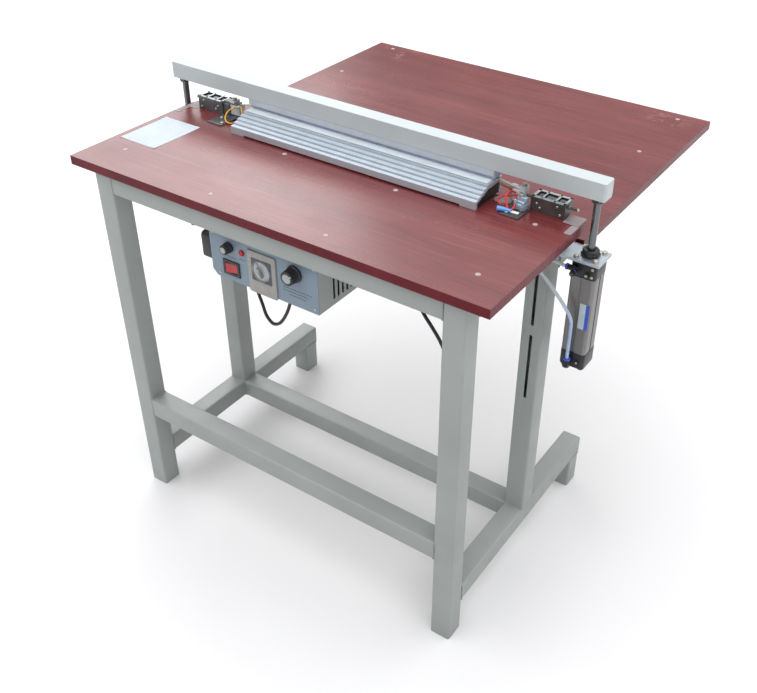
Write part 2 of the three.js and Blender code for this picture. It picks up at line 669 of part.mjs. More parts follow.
function buildSwitch() {
  const block = (halfWidth, halfHeight, front, back) => box(
    ROCKER.x - halfWidth, ROCKER.x + halfWidth, front, back, ROCKER.z - halfHeight, ROCKER.z + halfHeight,
  );
  add('switch_bezel', shaped(
    [block(18, 14, PANEL_Y - 2.5, PANEL_Y - GAP), block(14.6, 10.7, PANEL_Y - 1, PANEL_Y + 20)],
    [block(13.2, 9.2, PANEL_Y - 4, PANEL_Y + 18)],
  ), BLACK);

  // seen from above the rocker is a sector about its upright pivot, with a shallow V in its face
  const [pivotDepth, radius, halfHeight] = [5, 14.1, 8.6];
  const corner = Math.acos(11 / radius) - 0.1;
  const at = (angle, distance, flatten = 1) => [
    Math.cos(angle + ROCKER_TILT) * distance, Math.sin(angle + ROCKER_TILT) * distance * flatten,
  ];
  const sector = outline([
    at(-corner, radius), at(-Math.PI / 2, radius - 7.4), at(corner - Math.PI, radius),
    at(Math.PI - 0.5, radius - 1, 0.6), at(0.5, radius - 1, 0.6),
  ]);
  const rocker = alongZ(sector, ROCKER.z - halfHeight, ROCKER.z + halfHeight);
  add('rocker_switch', rocker.translate(ROCKER.x, PANEL_Y + pivotDepth, 0), RED);
}

function buildTimer() {
  const { x, z, dialZ } = TIMER;
  const dial = [x, dialZ];
  add('timer_body', shaped(
    [
      box(x - 30, x + 30, PANEL_Y - 3, PANEL_Y - GAP, z - 40, z + 40),
      box(x - 21, x + 21, PANEL_Y - 1, PANEL_Y + 60, z - 29, z + 29),
    ],
    [
      round('y', PANEL_Y - 4, PANEL_Y - 1.4, 20, dial, 36),
      round('y', PANEL_Y - 4, PANEL_Y + 10, 2.8, dial, 16),
    ],
  ), BEIGE);
  add('timer_dial', shaped([
    round('y', PANEL_Y - 5, PANEL_Y - 2, 17.5, dial, 36, 18.5),
    round('y', PANEL_Y - 13, PANEL_Y - 4, 9, dial, 24, 11),
    round('y', PANEL_Y - 3, PANEL_Y + 9, 2.3, dial, 16),
  ]), DIAL);
}

function buildControlBox() {
  buildCase();
  buildPanel();
  buildSwitch();
  buildKnob('small_knob', SMALL_KNOB);
  buildKnob('large_knob', LARGE_KNOB);
  buildTimer();
  buildCaseContents();
}

// ---------- tension blocks that keep the heating strip taut ----------
function buildTension() {
  const floor = TABLE_Z + GAP;
  const pull = [SEAL_Y, PULL_Z];
  const windows = [[6, 17], [20, 39], [43, 56]].map(([from, to]) => box(
    BLOCK_X + from, BLOCK_X + to, BLOCK_FRONT_Y + 6, BLOCK_BACK_Y - 6, BLOCK_TOP - 4, BLOCK_TOP + OVER,
  ));
  addPair('tension_block', shaped(
    [
      box(BLOCK_X, BLOCK_END, BLOCK_FRONT_Y, BLOCK_BACK_Y, floor, BLOCK_TOP),
      box(BLOCK_X - 33, BLOCK_X + 1, BLOCK_FRONT_Y - 42, BLOCK_FRONT_Y + 8, floor, floor + 1.5),
    ],
    [
      box(BLOCK_X + 3, BLOCK_END - 3, BLOCK_FRONT_Y + 2, BLOCK_BACK_Y - 2, floor + 2, BLOCK_TOP - 1.5),
      box(BLOCK_X + 3, BLOCK_END - 3, BLOCK_FRONT_Y + 6, BLOCK_BACK_Y - 6, floor - OVER, floor + 3),
      ...windows,
      round('x', BLOCK_X - OVER, BLOCK_END + OVER, 2.9, pull, 16),
    ],
  ), DARK_STEEL);

  // the slide: an insulated clamp for the end of the strip, a pull rod and the collar its spring pushes
  const [clampFront, clampBack] = [SEAL_Y - 8, SEAL_Y + 8];
  addPair('tension_slide', shaped([
    box(294, 316, clampFront, clampBack, TABLE_Z + 4, 778),
    box(306, 316, clampFront, clampBack, 777, 786),
    round('x', 315, 408, 2.5, pull, 16),
    round('x', COLLAR_X, COLLAR_X + 5, 5, pull, 16),
  ]), CERAMIC);

  // the compression spring round the rod, between the block's inner wall and the collar
  const margin = GAP + SPRING_WIRE / 2 + 0.1;
  const start = BLOCK_X + 3 + margin;
  const reach = COLLAR_X - margin - start;
  const points = [];
  const steps = SPRING_TURNS * 8;
  for (let i = 0; i <= steps; i += 1) {
    const angle = (i / 8) * 2 * Math.PI;
    points.push([
      start + (reach * i) / steps,
      SEAL_Y + Math.cos(angle) * SPRING_RADIUS,
      PULL_Z + Math.sin(angle) * SPRING_RADIUS,
    ]);
  }
  addPair('tension_spring', swept(points, SPRING_WIRE, steps, 5), STEEL);
}

// ---------- mains cord ----------
// Out of the gland, over to the right front leg, down behind it and back along the floor to its coil.
const CORD_ROUTE = [
  [CASE_RIGHT + OUTLET.reach + GAP, OUTLET.y, OUTLET.z], [128, -310.5, 664.6], [160, -316.5, 658.5],
  [192, -332, 652], [224, -353, 650], [246, -369, 646], [263, -378, 635.5], [279, -379, 618],
  [293, -378, 598], [304, -375, 570], [311, -371, 530], [315, -367, 480], [317, -364, 400],
  [318, -362, 300], [318, -362, 200], [318, -362, 110], [318, -362, 60], [316.5, -359, 29],
  [308, -344, 9.5], [298, -327, 4.4], [286, -304, FLOOR_CORD_Z], [262, -256, FLOOR_CORD_Z],
  [206, -168, FLOOR_CORD_Z], [160, -78, FLOOR_CORD_Z], [104, 8, FLOOR_CORD_Z], [60, 96, FLOOR_CORD_Z],
  [2, 182, FLOOR_CORD_Z], [-40, 268, FLOOR_CORD_Z], [-96, 354, FLOOR_CORD_Z], [-138, 432, FLOOR_CORD_Z],
  [-164, 482, FLOOR_CORD_Z], [-174.4, 513, FLOOR_CORD_Z],
];

function buildCord() {
  add('power_cord', swept(CORD_ROUTE, CORD, 76, 10), BLACK);

  // the coil's outer shape, with its edges cut off at 45 degrees
  const { x, y, inner, outer, height } = COIL;
  const [low, high, cut] = [GAP, GAP + height, 3];
  add('cord_coil', turned([
    [inner, low + cut], [inner + cut, low], [outer - cut, low], [outer, low + cut],
    [outer, high - cut], [outer - cut, high], [inner + cut, high], [inner, high - cut],
    [inner, low + cut],
  ], x, y, 32), BLACK);

  // the plug lies behind the coil, its cord end at the coil's last turn and its two blades to the left
  const { halfWidth, boot, shoulder, end, tip } = PLUG;
  const blade = (side) => {
    const bladeY = PLUG.y + side * 6.5;
    return box(tip, end + 1, bladeY - 0.8, bladeY + 0.8, PLUG.z - 3, PLUG.z + 3);
  };
  add('mains_plug', shaped([
    alongX(roundedRect(PLUG.y - halfWidth, PLUG.y + halfWidth, GAP, 2 * PLUG.z - GAP, 5), end, shoulder),
    round('x', shoulder - 1, boot, 6, [PLUG.y, PLUG.z], 12, 4.2),
    blade(-1), blade(1),
  ]), BLACK);
}

buildFrame();
buildTables();
buildLowerJaw();
buildPressBeam();
buildCylinder();
buildAirSupply();
buildControlBox();
buildTension();
buildCord();

export default group;
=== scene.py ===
"""A table-type impulse sealer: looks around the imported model, in the model's own frame.

Shapes are drawn in millimetres, like the model's own drawing, and become objects in metres.
X runs along the jaw to the right, Y to the back and Z up. The machine is symmetric about x = 0
except for its control box, valve and wires, so pairs are drawn on the right and mirrored.
"""

import math
import random

import bmesh
import bpy
from mathutils import Matrix, Vector


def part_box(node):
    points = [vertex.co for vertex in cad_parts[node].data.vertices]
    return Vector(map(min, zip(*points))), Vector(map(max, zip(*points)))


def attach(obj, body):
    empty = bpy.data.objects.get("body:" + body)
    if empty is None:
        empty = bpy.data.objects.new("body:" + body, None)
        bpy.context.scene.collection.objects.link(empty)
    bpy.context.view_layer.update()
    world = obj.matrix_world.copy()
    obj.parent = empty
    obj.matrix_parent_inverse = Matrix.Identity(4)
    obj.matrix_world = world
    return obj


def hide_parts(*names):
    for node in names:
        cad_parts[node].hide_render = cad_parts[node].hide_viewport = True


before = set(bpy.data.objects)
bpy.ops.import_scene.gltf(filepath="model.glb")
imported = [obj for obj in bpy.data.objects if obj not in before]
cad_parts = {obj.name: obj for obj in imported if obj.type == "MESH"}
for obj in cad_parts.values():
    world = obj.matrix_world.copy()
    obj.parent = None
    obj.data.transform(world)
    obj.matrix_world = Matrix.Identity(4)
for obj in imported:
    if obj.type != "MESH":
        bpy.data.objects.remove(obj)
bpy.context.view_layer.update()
MM = 0.001
RANDOM = random.Random(7)


def span(node):
    """Lowest and highest corner of a CAD node, in millimetres."""
    return [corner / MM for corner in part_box(node)]


# ---------- camera ----------
def make_camera():
    data = bpy.data.cameras.new("camera")
    data.sensor_width = 36
    data.lens = 45.838
    data.shift_x = -0.05338
    data.shift_y = -0.01272
    data.clip_end = 30
    place = Vector((0.932206, -1.436156, 1.485152))
    right = Vector((0.83470, 0.55042, 0.01762))
    down = Vector((0.33139, -0.47647, -0.81435))
    forward = Vector((-0.43984, 0.68557, -0.58011))
    camera = bpy.data.objects.new("camera", data)
    camera.matrix_world = Matrix.Translation(place) @ Matrix((right, -down, -forward)).transposed().to_4x4()
    bpy.context.scene.collection.objects.link(camera)
    bpy.context.scene.camera = camera


# ---------- node materials ----------
def colour(code):
    """Linear colour of a hex code such as c0ccd4."""
    values = [int(code[i:i + 2], 16) / 255 for i in (0, 2, 4)]
    linear = [v / 12.92 if v <= 0.04045 else ((v + 0.055) / 1.055) ** 2.4 for v in values]
    return (*linear, 1.0)


def tinted(code, factor):
    red, green, blue, alpha = colour(code)
    return (min(red * factor, 1), min(green * factor, 1), min(blue * factor, 1), alpha)


class Surface:
    """A node material. Its coordinates are the object's own, in metres."""

    def __init__(self, name, **sockets):
        self.material = bpy.data.materials.new(name)
        self.material.use_nodes = True
        self.tree = self.material.node_tree
        self.shader = self.tree.nodes["Principled BSDF"]
        self.place = self.put("TexCoord", output="Object")
        for key, value in sockets.items():
            self.shader.inputs[key.replace("_", " ")].default_value = value

    def put(self, kind, inputs=None, output=0, **settings):
        node = self.tree.nodes.new("ShaderNode" + kind)
        for key, value in settings.items():
            setattr(node, key, value)
        for key, value in (inputs or {}).items():
            self.feed(node.inputs[key], value)
        return node.outputs[output]

    def feed(self, socket, value):
        if isinstance(value, bpy.types.NodeSocket):
            self.tree.links.new(value, socket)
        else:
            socket.default_value = value

    def set(self, socket, value):
        self.feed(self.shader.inputs[socket], value)

    def stretched(self, scale, turn=(0, 0, 0)):
        return self.put("Mapping", {"Vector": self.place, "Scale": scale, "Rotation": turn})

    def noise(self, scale, detail=3.0, stretch=None, roughness=0.5, distortion=0.0):
        place = self.stretched(stretch) if stretch else self.place
        return self.put("TexNoise", {
            "Vector": place, "Scale": scale, "Detail": detail, "Roughness": roughness,
            "Distortion": distortion,
        })

    def ranged(self, value, low, high, to_low=0.0, to_high=1.0):
        return self.put("MapRange", {
            "Value": value, "From Min": low, "From Max": high, "To Min": to_low, "To Max": to_high,
        })

    def clouded(self, cloud, first, second):
        """One colour turning into another as a noise rises through its middle."""
        return self.mix(self.ranged(cloud, 0.3, 0.7), first, second)

    def rough(self, noise, low, high):
        self.set("Roughness", self.ranged(noise, 0.3, 0.7, low, high))

    def math(self, operation, first, second=0.5, **settings):
        return self.put("Math", {0: first, 1: second}, operation=operation, **settings)

    def mix(self, factor, first, second, blend="MIX"):
        node = self.tree.nodes.new("ShaderNodeMix")
        node.data_type = "RGBA"
        node.blend_type = blend
        for index, value in ((0, factor), (6, first), (7, second)):
            self.feed(node.inputs[index], value)
        return node.outputs[2]

    def part(self, vector, axis):
        return self.put("SeparateXYZ", {0: vector}, output="XYZ".index(axis))

    def facing(self, axis):
        """How far the surface faces along an axis, from -1 to 1."""
        return self.part(self.put("NewGeometry", output="Normal"), axis)

    def rounded(self, radius):
        return self.put("Bevel", {"Radius": radius * MM}, samples=4)

    def edges(self, radius):
        """1 along outer edges, 0 on flat ground."""
        flat = self.put("NewGeometry", output="Normal")
        normals = {0: self.rounded(radius), 1: flat}
        turn = self.put("VectorMath", normals, output="Value", operation="DOT_PRODUCT")
        return self.ranged(turn, 0.99, 0.9)

    def bump(self, height, strength, distance, normal=None):
        inputs = {"Height": height, "Strength": strength, "Distance": distance * MM}
        if normal is not None:
            inputs["Normal"] = normal
        self.set("Normal", self.put("Bump", inputs))


def painted(name, code, roughness=0.42, wear=0.35, floor_darkening=0.25, soften=1.2):
    """Sprayed metal: orange peel, faint blotches, rubbed edges, and darker in noisy patches towards the
    floor.
    """
    surface = Surface(name)
    base = surface.clouded(surface.noise(7, 4), tinted(code, 0.93), tinted(code, 1.06))
    scratch = surface.noise(60, 6, stretch=(1, 1, 0.15), roughness=0.7)
    rubbed = surface.math("MULTIPLY", surface.edges(1.6), surface.ranged(scratch, 0.45, 0.7, 0, wear))
    base = surface.mix(rubbed, base, tinted(code, 1.55))
    # Darker in noisy patches over the lowest 16 centimetres of height.
    low = surface.ranged(surface.part(surface.place, "Z"), 0.16, 0.0)
    low_darkening = surface.math("MULTIPLY", low, surface.ranged(surface.noise(24, 5), 0.35, 0.75, 0, floor_darkening))
    base = surface.mix(low_darkening, base, tinted(code, 0.55))
    surface.set("Base Color", base)
    surface.rough(surface.noise(18, 3), roughness - 0.06, roughness + 0.08)
    surface.bump(surface.noise(700, 2), 0.25, 0.05, surface.rounded(soften))
    return surface.material


def laminate():
    """Mahogany laminate with a fine grain along X, a dark edge band and a plain underside."""
    surface = Surface("laminate", IOR=1.6)
    figure = surface.noise(1.0, 5, stretch=(1.6, 15, 15), roughness=0.55, distortion=0.2)
    base = surface.mix(surface.ranged(figure, 0.34, 0.66), colour("602223"), colour("733131"))
    grain = surface.noise(1.0, 4, stretch=(9, 420, 420), roughness=0.6)
    base = surface.mix(surface.ranged(grain, 0.44, 0.68, 0, 0.55), base, colour("42161a"))
    pores = surface.noise(1.0, 2, stretch=(40, 900, 900), roughness=0.5)
    base = surface.mix(surface.ranged(pores, 0.6, 0.74, 0, 0.35), base, colour("3a0d10"))
    light = surface.noise(1.0, 6, stretch=(5, 160, 160), roughness=0.6)
    base = surface.mix(surface.ranged(light, 0.56, 0.76, 0, 0.4), base, colour("98534d"))
    rub = surface.noise(22, 7, roughness=0.75)
    for spot in ((-0.345, 0.435, 0.706), (0.34, 0.425, 0.706), (0.385, -0.2, 0.706)):
        offset = surface.put("VectorMath", {0: surface.place, 1: spot}, output=0, operation="SUBTRACT")
        length = surface.put("VectorMath", {0: offset}, output="Value", operation="LENGTH")
        rubbed = surface.ranged(rub, 0.52, 0.7, 0, 0.7)
        worn = surface.math("MULTIPLY", surface.ranged(length, 0.06, 0.012), rubbed)
        base = surface.mix(worn, base, colour("c9a39c"))
    up = surface.facing("Z")
    side = surface.ranged(surface.math("ABSOLUTE", up), 0.8, 0.6)
    band = surface.clouded(surface.noise(14, 4), colour("520e19"), colour("62151f"))
    base = surface.mix(side, base, band)
    base = surface.mix(surface.ranged(up, -0.6, -0.8), base, colour("6d5a4c"))
    # Paler along the board's edges: a painted highlight.
    base = surface.mix(surface.math("MULTIPLY", surface.edges(1.0), 0.3), base, colour("8a4a46"))
    surface.set("Base Color", base)
    surface.set("Specular IOR Level", surface.ranged(side, 0, 1, 0.5, 0.12))
    smear = surface.noise(5, 5, roughness=0.6)
    surface.set("Roughness", surface.ranged(smear, 0.3, 0.75, 0.22, 0.34))
    surface.bump(grain, 0.03, 0.04, surface.rounded(0.8))
    return surface.material


def metal(name, code, roughness=0.32, along="X", streaks=0.10, metallic=0.9, blotches=0.06):
    """Drawn or brushed metal: fine streaks along one axis, over faint blotches."""
    surface = Surface(name, Metallic=metallic)
    stretch = tuple(6 if axis == along else 900 for axis in "XYZ")
    brushed = surface.noise(1.0, 5, stretch=stretch, roughness=0.6)
    cloud = surface.noise(35, 5, roughness=0.6)
    base = surface.clouded(cloud, tinted(code, 1 - blotches), tinted(code, 1 + blotches))
    base = surface.mix(surface.ranged(brushed, 0.4, 0.7, 0, streaks * 3), base, tinted(code, 0.72))
    # Paler along the edges: a painted highlight.
    base = surface.mix(surface.math("MULTIPLY", surface.edges(0.6), 0.5), base, tinted(code, 1.35))
    surface.set("Base Color", base)
    surface.rough(brushed, roughness - 0.07, roughness + 0.1)
    surface.bump(brushed, 0.2 + streaks, 0.03, surface.rounded(0.6))
    return surface.material


def plastic(name, code, roughness=0.4, grain=0.3, coat=0.0):
    """Moulded plastic, rubber or enamel: a fine spark-eroded grain, softened edges and a painted highlight
    along the edges.
    """
    surface = Surface(name, Coat_Weight=coat)
    base = surface.clouded(surface.noise(60, 4), tinted(code, 0.9), tinted(code, 1.12))
    # Paler along the edges: a painted highlight.
    base = surface.mix(surface.math("MULTIPLY", surface.edges(0.5), 0.3), base, tinted(code, 1.8))
    surface.set("Base Color", base)
    surface.rough(surface.noise(140, 3), roughness - 0.05, roughness + 0.08)
    surface.bump(surface.noise(2600, 2), grain, 0.03, surface.rounded(0.5))
    return surface.material


def clamp_ceramic():
    """The pale insulator of the strip's clamp, and the browned steel of its pull rod further out."""
    surface = Surface("clamp_ceramic")
    cloud = surface.noise(60, 4)
    glaze = surface.clouded(cloud, colour("b4bbbf"), colour("cfd5d7"))
    steel = surface.clouded(cloud, colour("4a4341"), colour("645c58"))
    reach = surface.math("ABSOLUTE", surface.part(surface.place, "X"))
    base = surface.mix(surface.ranged(reach, 0.3162, 0.3166), glaze, steel)
    # Paler along the edges: a painted highlight.
    base = surface.mix(surface.math("MULTIPLY", surface.edges(0.5), 0.25), base, colour("d6d2cc"))
    surface.set("Base Color", base)
    surface.rough(surface.noise(140, 3), 0.34, 0.5)
    surface.bump(surface.noise(2600, 2), 0.3, 0.03, surface.rounded(0.5))
    return surface.material


def hose_plastic():
    """Polyurethane tube: cloudy and pale blue, painted whitish higher up near the valve as a painted sheen.
    """
    surface = Surface("air_hose", Transmission_Weight=0.12, IOR=1.45, Coat_Weight=0.3)
    cloud = surface.noise(30, 3)
    upper = surface.mix(cloud, colour("aab4bb"), colour("c6ced3"))
    lower = surface.mix(cloud, colour("8ea8d2"), colour("b0c4e2"))
    # The same tube is painted whitish above about 0.6 m: a painted sheen where more light falls.
    height = surface.ranged(surface.part(surface.place, "Z"), 0.57, 0.63)
    surface.set("Base Color", surface.mix(height, lower, upper))
    surface.rough(surface.noise(90, 3), 0.24, 0.4)
    surface.bump(surface.noise(300, 2), 0.08, 0.05)
    return surface.material


def woven():
    """Coated glass cloth in a plain weave, half a millimetre a thread."""
    surface = Surface("release_cloth", Sheen_Weight=0.1)
    step = math.tau / (0.5 * MM)
    x = surface.math("SINE", surface.math("MULTIPLY", surface.part(surface.place, "X"), step))
    y = surface.math("SINE", surface.math("MULTIPLY", surface.part(surface.place, "Y"), step))
    weave = surface.ranged(surface.math("MULTIPLY", x, y), -1, 1)
    base = surface.mix(weave, colour("bcc6cd"), colour("cbd3d9"))
    stain = surface.noise(1.0, 5, stretch=(20, 90, 90))
    base = surface.mix(surface.ranged(stain, 0.5, 0.75, 0, 0.4), base, colour("9c8a6c"))
    surface.set("Base Color", base)
    surface.rough(stain, 0.45, 0.65)
    surface.bump(weave, 0.4, 0.06)
    return surface.material


def winding():
    """Varnished copper windings round a laminated core, each turn painted light along its crest and painted
    shade in the creases between turns.
    """
    surface = Surface("winding", Metallic=0.7, Coat_Weight=0.4)
    height = surface.part(surface.place, "Z")
    # Painted highlight and painted shade: light along each turn's crest, dark in the creases between turns.
    shade = surface.ranged(surface.math("SINE", surface.math("MULTIPLY", height, math.tau / 0.0011)), -1, 1)
    surface.set("Base Color", surface.mix(shade, colour("5e3320"), colour("b4734a")))
    surface.rough(surface.noise(80, 3), 0.3, 0.5)
    surface.bump(shade, 0.5, 0.2, surface.rounded(0.8))
    return surface.material


def paper():
    """A white sheet with rows of plain grey bars in place of print."""
    surface = Surface("paper", Specular_IOR_Level=0.15)
    along = surface.part(surface.place, "Y")
    rows = surface.math("SINE", surface.math("MULTIPLY", along, math.tau / 0.0075))
    words = surface.ranged(surface.noise(1.0, 2, stretch=(130, 260, 1)), 0.47, 0.5, 0, 0.35)
    ink = surface.math("MULTIPLY", surface.ranged(rows, 0.55, 0.8), words)
    base = surface.mix(surface.noise(9, 4), colour("a9b3ba"), colour("b7c0c6"))
    surface.set("Base Color", surface.mix(ink, base, colour("8d99a3")))
    surface.rough(surface.noise(50, 4), 0.42, 0.6)
    surface.bump(surface.noise(14, 5), 0.5, 0.5)
    return surface.material


def make_materials():
    return {
        "frame": painted("frame_paint", "8e9390", 0.42),
        "beam": painted("beam_paint", "b1b9ba", 0.5, 0.2, 0.0),
        "laminate": laminate(),
        "aluminium": metal("jaw_aluminium", "c0cad2", 0.38, "X", 0.08, metallic=0.5),
        "upper_aluminium": metal("upper_jaw_aluminium", "b6bfc6", 0.45, "X", 0.06, metallic=0.15),
        "barrel": metal("barrel_aluminium", "7c7a79", 0.34, "Z", 0.14, metallic=0.75),
        "zinc": metal("zinc_plate", "aab4bb", 0.36, "X", 0.04, 0.75, 0.14),
        "chrome": metal("ground_rod", "6f7273", 0.26, "Z", 0.08),
        "alloy": metal("strip_alloy", "9b9a97", 0.35, "X", 0.1),
        "block": metal("block_steel", "565252", 0.42, "X", 0.06, 0.5, 0.3),
        "block_grey": metal("block_grey_steel", "6e7375", 0.36, "X", 0.08, 0.7, 0.3),
        "block_light": metal("block_edges", "b9c0c2", 0.32, "X", 0.06, 0.8, 0.15),
        "bolt": metal("bolt_steel", "b4b1a4", 0.28, "Z", 0.02, blotches=0.15),
        "brass": metal("brass", "b29462", 0.3, "Y", 0.04, blotches=0.1),
        "black_paint": painted("head_black", "111215", 0.36, 0.3, 0.0, 0.8),
        "panel": painted("panel_paint", "70808d", 0.42, 0.2, 0.0, 0.6),
        "black": plastic("black_plastic", "121214", 0.36),
        "cord": plastic("cord_rubber", "0e0f11", 0.42, 0.2),
        "red": plastic("signal_red", "a01420", 0.25, 0.1, coat=0.3),
        "red_wire": plastic("red_wire", "c4222a", 0.32, 0.1),
        "yellow_wire": plastic("yellow_wire", "d8a222", 0.34, 0.1),
        "blue": plastic("blue_ring", "2f4fb4", 0.3, 0.1),
        "pale_blue": plastic("pale_blue_lug", "5f9ade", 0.35, 0.1),
        "white": plastic("white_plastic", "dfe3e6", 0.35, 0.15),
        "cap": plastic("cap_plastic", "a4928f", 0.4, 0.15),
        "beige": plastic("timer_beige", "8c8985", 0.42, 0.25),
        "dial": plastic("dial_plastic", "8f9695", 0.2, 0.1, coat=0.4),
        "ink": plastic("dark_ink", "3b444c", 0.5, 0.1),
        "silicone": plastic("silicone_pad", "a3acc4", 0.55, 0.3),
        "ceramic": clamp_ceramic(),
        "terminal": metal("terminal_plate", "a9bccb", 0.34, "Z", 0.04, 0.4, 0.14),
        "silver": metal("knob_cap_silver", "9a9c9b", 0.3, "X", 0.04, metallic=0.7),
        "grey_patch": plastic("adhesive_pad", "8a8181", 0.5, 0.3),
        "cloth": woven(),
        "hose": hose_plastic(),
        "winding": winding(),
        "paper": paper(),
        "sticker": plastic("sticker_white", "a9b7bd", 0.4, 0.1),
    }


# ---------- shapes ----------
def rounded_rectangle(width, height, radius, steps=4):
    """Corner-rounded rectangle about the origin, counter-clockwise."""
    points = []
    for quarter, (sx, sy) in enumerate(((1, 1), (-1, 1), (-1, -1), (1, -1))):
        for step in range(steps + 1):
            angle = (quarter + step / steps) * math.pi / 2
            points.append((
                sx * (width / 2 - radius) + radius * math.cos(angle),
                sy * (height / 2 - radius) + radius * math.sin(angle),
            ))
    return points


def at(axis, along, a, b):
    """The point at a place along an axis and at (a, b) in the other two, in X, Y, Z order."""
    point = [a, b]
    point.insert("xyz".index(axis), along)
    return Vector(point)


def four_corners(centre, reach):
    return [(centre[0] + dx * reach, centre[1] + dy * reach) for dx in (-1, 1) for dy in (-1, 1)]


def smooth_line(points, step):
    """Points about a step apart on the centripetal Catmull-Rom curve through the given ones."""
    points = [Vector(p) for p in points]
    points = [2 * points[0] - points[1], *points, 2 * points[-1] - points[-2]]
    line = []
    for i in range(1, len(points) - 2):
        p = points[i - 1:i + 3]
        t = [0.0]
        for a, b in zip(p, p[1:]):
            t.append(t[-1] + max((b - a).length, 1e-9) ** 0.5)
        count = max(1, round((p[2] - p[1]).length / step))
        for k in range(count):
            u = t[1] + (t[2] - t[1]) * k / count
            a = [p[j].lerp(p[j + 1], (u - t[j]) / (t[j + 1] - t[j])) for j in range(3)]
            b = [a[j].lerp(a[j + 1], (u - t[j]) / (t[j + 2] - t[j])) for j in range(2)]
            line.append(b[0].lerp(b[1], (u - t[1]) / (t[2] - t[1])))
    line.append(points[-2])
    return line


class Shape:
    """Builds one mesh in millimetres."""

    def __init__(self):
        self.bm = bmesh.new()

    def ring_faces(self, first, second, closed=True):
        count = len(first)
        for i in range(count if closed else count - 1):
            j = (i + 1) % count
            self.bm.faces.new((first[i], first[j], second[j], second[i]))

    def loft(self, rings, caps=True):
        """Joins rings of points, each with the same number of points, into a closed skin."""
        made = [[self.bm.verts.new(p) for p in ring] for ring in rings]
        for first, second in zip(made, made[1:]):
            self.ring_faces(first, second)
        if caps:
            self.bm.faces.new(reversed(made[0]))
            self.bm.faces.new(made[-1])
        else:
            self.ring_faces(made[-1], made[0])
        return self

    def prism(self, outline, axis, start, end, centre=(0, 0)):
        """An outline in the other two axes, made solid along an axis."""
        return self.loft([
            [at(axis, along, a + centre[0], b + centre[1]) for a, b in outline] for along in (start, end)
        ])

    def stack(self, axis, centre, size, corner, layers, steps=4):
        """Rounded rectangles, each drawn in by its inset, joined at their places along an axis."""
        rings = []
        for inset, along in layers:
            outline = rounded_rectangle(size[0] - 2 * inset, size[1] - 2 * inset, corner, steps)
            rings.append([at(axis, along, centre[0] + a, centre[1] + b) for a, b in outline])
        return self.loft(rings)

    def block(self, low, high):
        outline = [(low[0], low[1]), (high[0], low[1]), (high[0], high[1]), (low[0], high[1])]
        return self.prism(outline, "z", low[2], high[2])

    def turned(self, profile, axis, centre, sides=40):
        """Revolves (radius, place along the axis) points that start and end on the axis, or close up."""
        solid = profile[0][0] == 0
        rings = []
        for radius, along in profile[1:-1] if solid else profile:
            rings.append(self.circle(axis, along, centre, radius, sides))
        if not solid:
            return self.loft(rings, caps=False)
        made = [[self.bm.verts.new(p) for p in ring] for ring in rings]
        for first, second in zip(made, made[1:]):
            self.ring_faces(first, second)
        for ring, (_, along), flip in ((made[0], profile[0], True), (made[-1], profile[-1], False)):
            tip = self.bm.verts.new(self.circle(axis, along, centre, 0, 1)[0])
            for i in range(sides):
                pair = (ring[i], ring[(i + 1) % sides])
                self.bm.faces.new((*reversed(pair), tip) if flip else (*pair, tip))
        return self

    @staticmethod
    def circle(axis, along, centre, radius, sides):
        ring = []
        for i in range(sides):
            angle = math.tau * i / sides
            a, b = centre[0] + radius * math.cos(angle), centre[1] + radius * math.sin(angle)
            ring.append(at(axis, along, a, b))
        return ring

    def bar(self, axis, low, high, centre, radius, end_radius=None, sides=32, chamfer=0.4):
        """A round bar with small chamfers at its ends."""
        end_radius = radius if end_radius is None else end_radius
        return self.turned([
            (0, low), (radius - chamfer, low), (radius, low + chamfer), (end_radius, high - chamfer),
            (end_radius - chamfer, high), (0, high),
        ], axis, centre, sides)

    def hexagon(self, axis, low, high, centre, across):
        """A hexagon head or nut with its corners turned off."""
        corner = across / math.sqrt(3)
        cut = (high - low) * 0.2
        layers = ((low, 0.9), (low + cut, 1), (high - cut, 1), (high, 0.9))
        return self.loft([self.circle(axis, along, centre, corner * size, 6) for along, size in layers])

    def tube(self, line, radius, sides=12):
        """A round section swept along a line; radius is a number or a function of the share run."""
        line = [Vector(p) for p in line]
        tangents = []
        for i in range(len(line)):
            tangents.append((line[min(i + 1, len(line) - 1)] - line[max(i - 1, 0)]).normalized())
        side = tangents[0].orthogonal().normalized()
        rings = []
        for i, point in enumerate(line):
            side = (side - side.dot(tangents[i]) * tangents[i]).normalized()
            other = tangents[i].cross(side)
            size = radius(i / (len(line) - 1)) if callable(radius) else radius
            rings.append([
                point + size * (math.cos(a) * side + math.sin(a) * other)
                for a in (math.tau * k / sides for k in range(sides))
            ])
        return self.loft(rings)

    def square_tube(self, low, high, axis):
        """A rounded square tube with open ends."""
        wall, radius = 2.0, 3.6
        along = "xyz".index(axis)
        others = [i for i in range(3) if i != along]
        centre = [(low[i] + high[i]) / 2 for i in others]
        size = [high[i] - low[i] for i in others]
        rings = []
        for inset, place in ((0, low), (0, high), (wall, high), (wall, low)):
            outline = rounded_rectangle(size[0] - 2 * inset, size[1] - 2 * inset, max(radius - inset, 0.8))
            rings.append([at(axis, place[along], a + centre[0], b + centre[1]) for a, b in outline])
        return self.loft(rings, caps=False)

    def finished(self, name, material, mirror=False, smooth=35):
        """Turns the shape into an object in metres."""
        scale = Matrix.Diagonal((-MM if mirror else MM, MM, MM, 1))
        bmesh.ops.transform(self.bm, matrix=scale, verts=self.bm.verts)
        bmesh.ops.recalc_face_normals(self.bm, faces=self.bm.faces)
        mesh = bpy.data.meshes.new(name)
        self.bm.to_mesh(mesh)
        self.bm.free()
        mesh.shade_smooth()
        mesh.set_sharp_from_angle(angle=math.radians(smooth))
        mesh.materials.append(material)
        made = bpy.data.objects.new(name, mesh)
        bpy.context.scene.collection.objects.link(made)
        return made

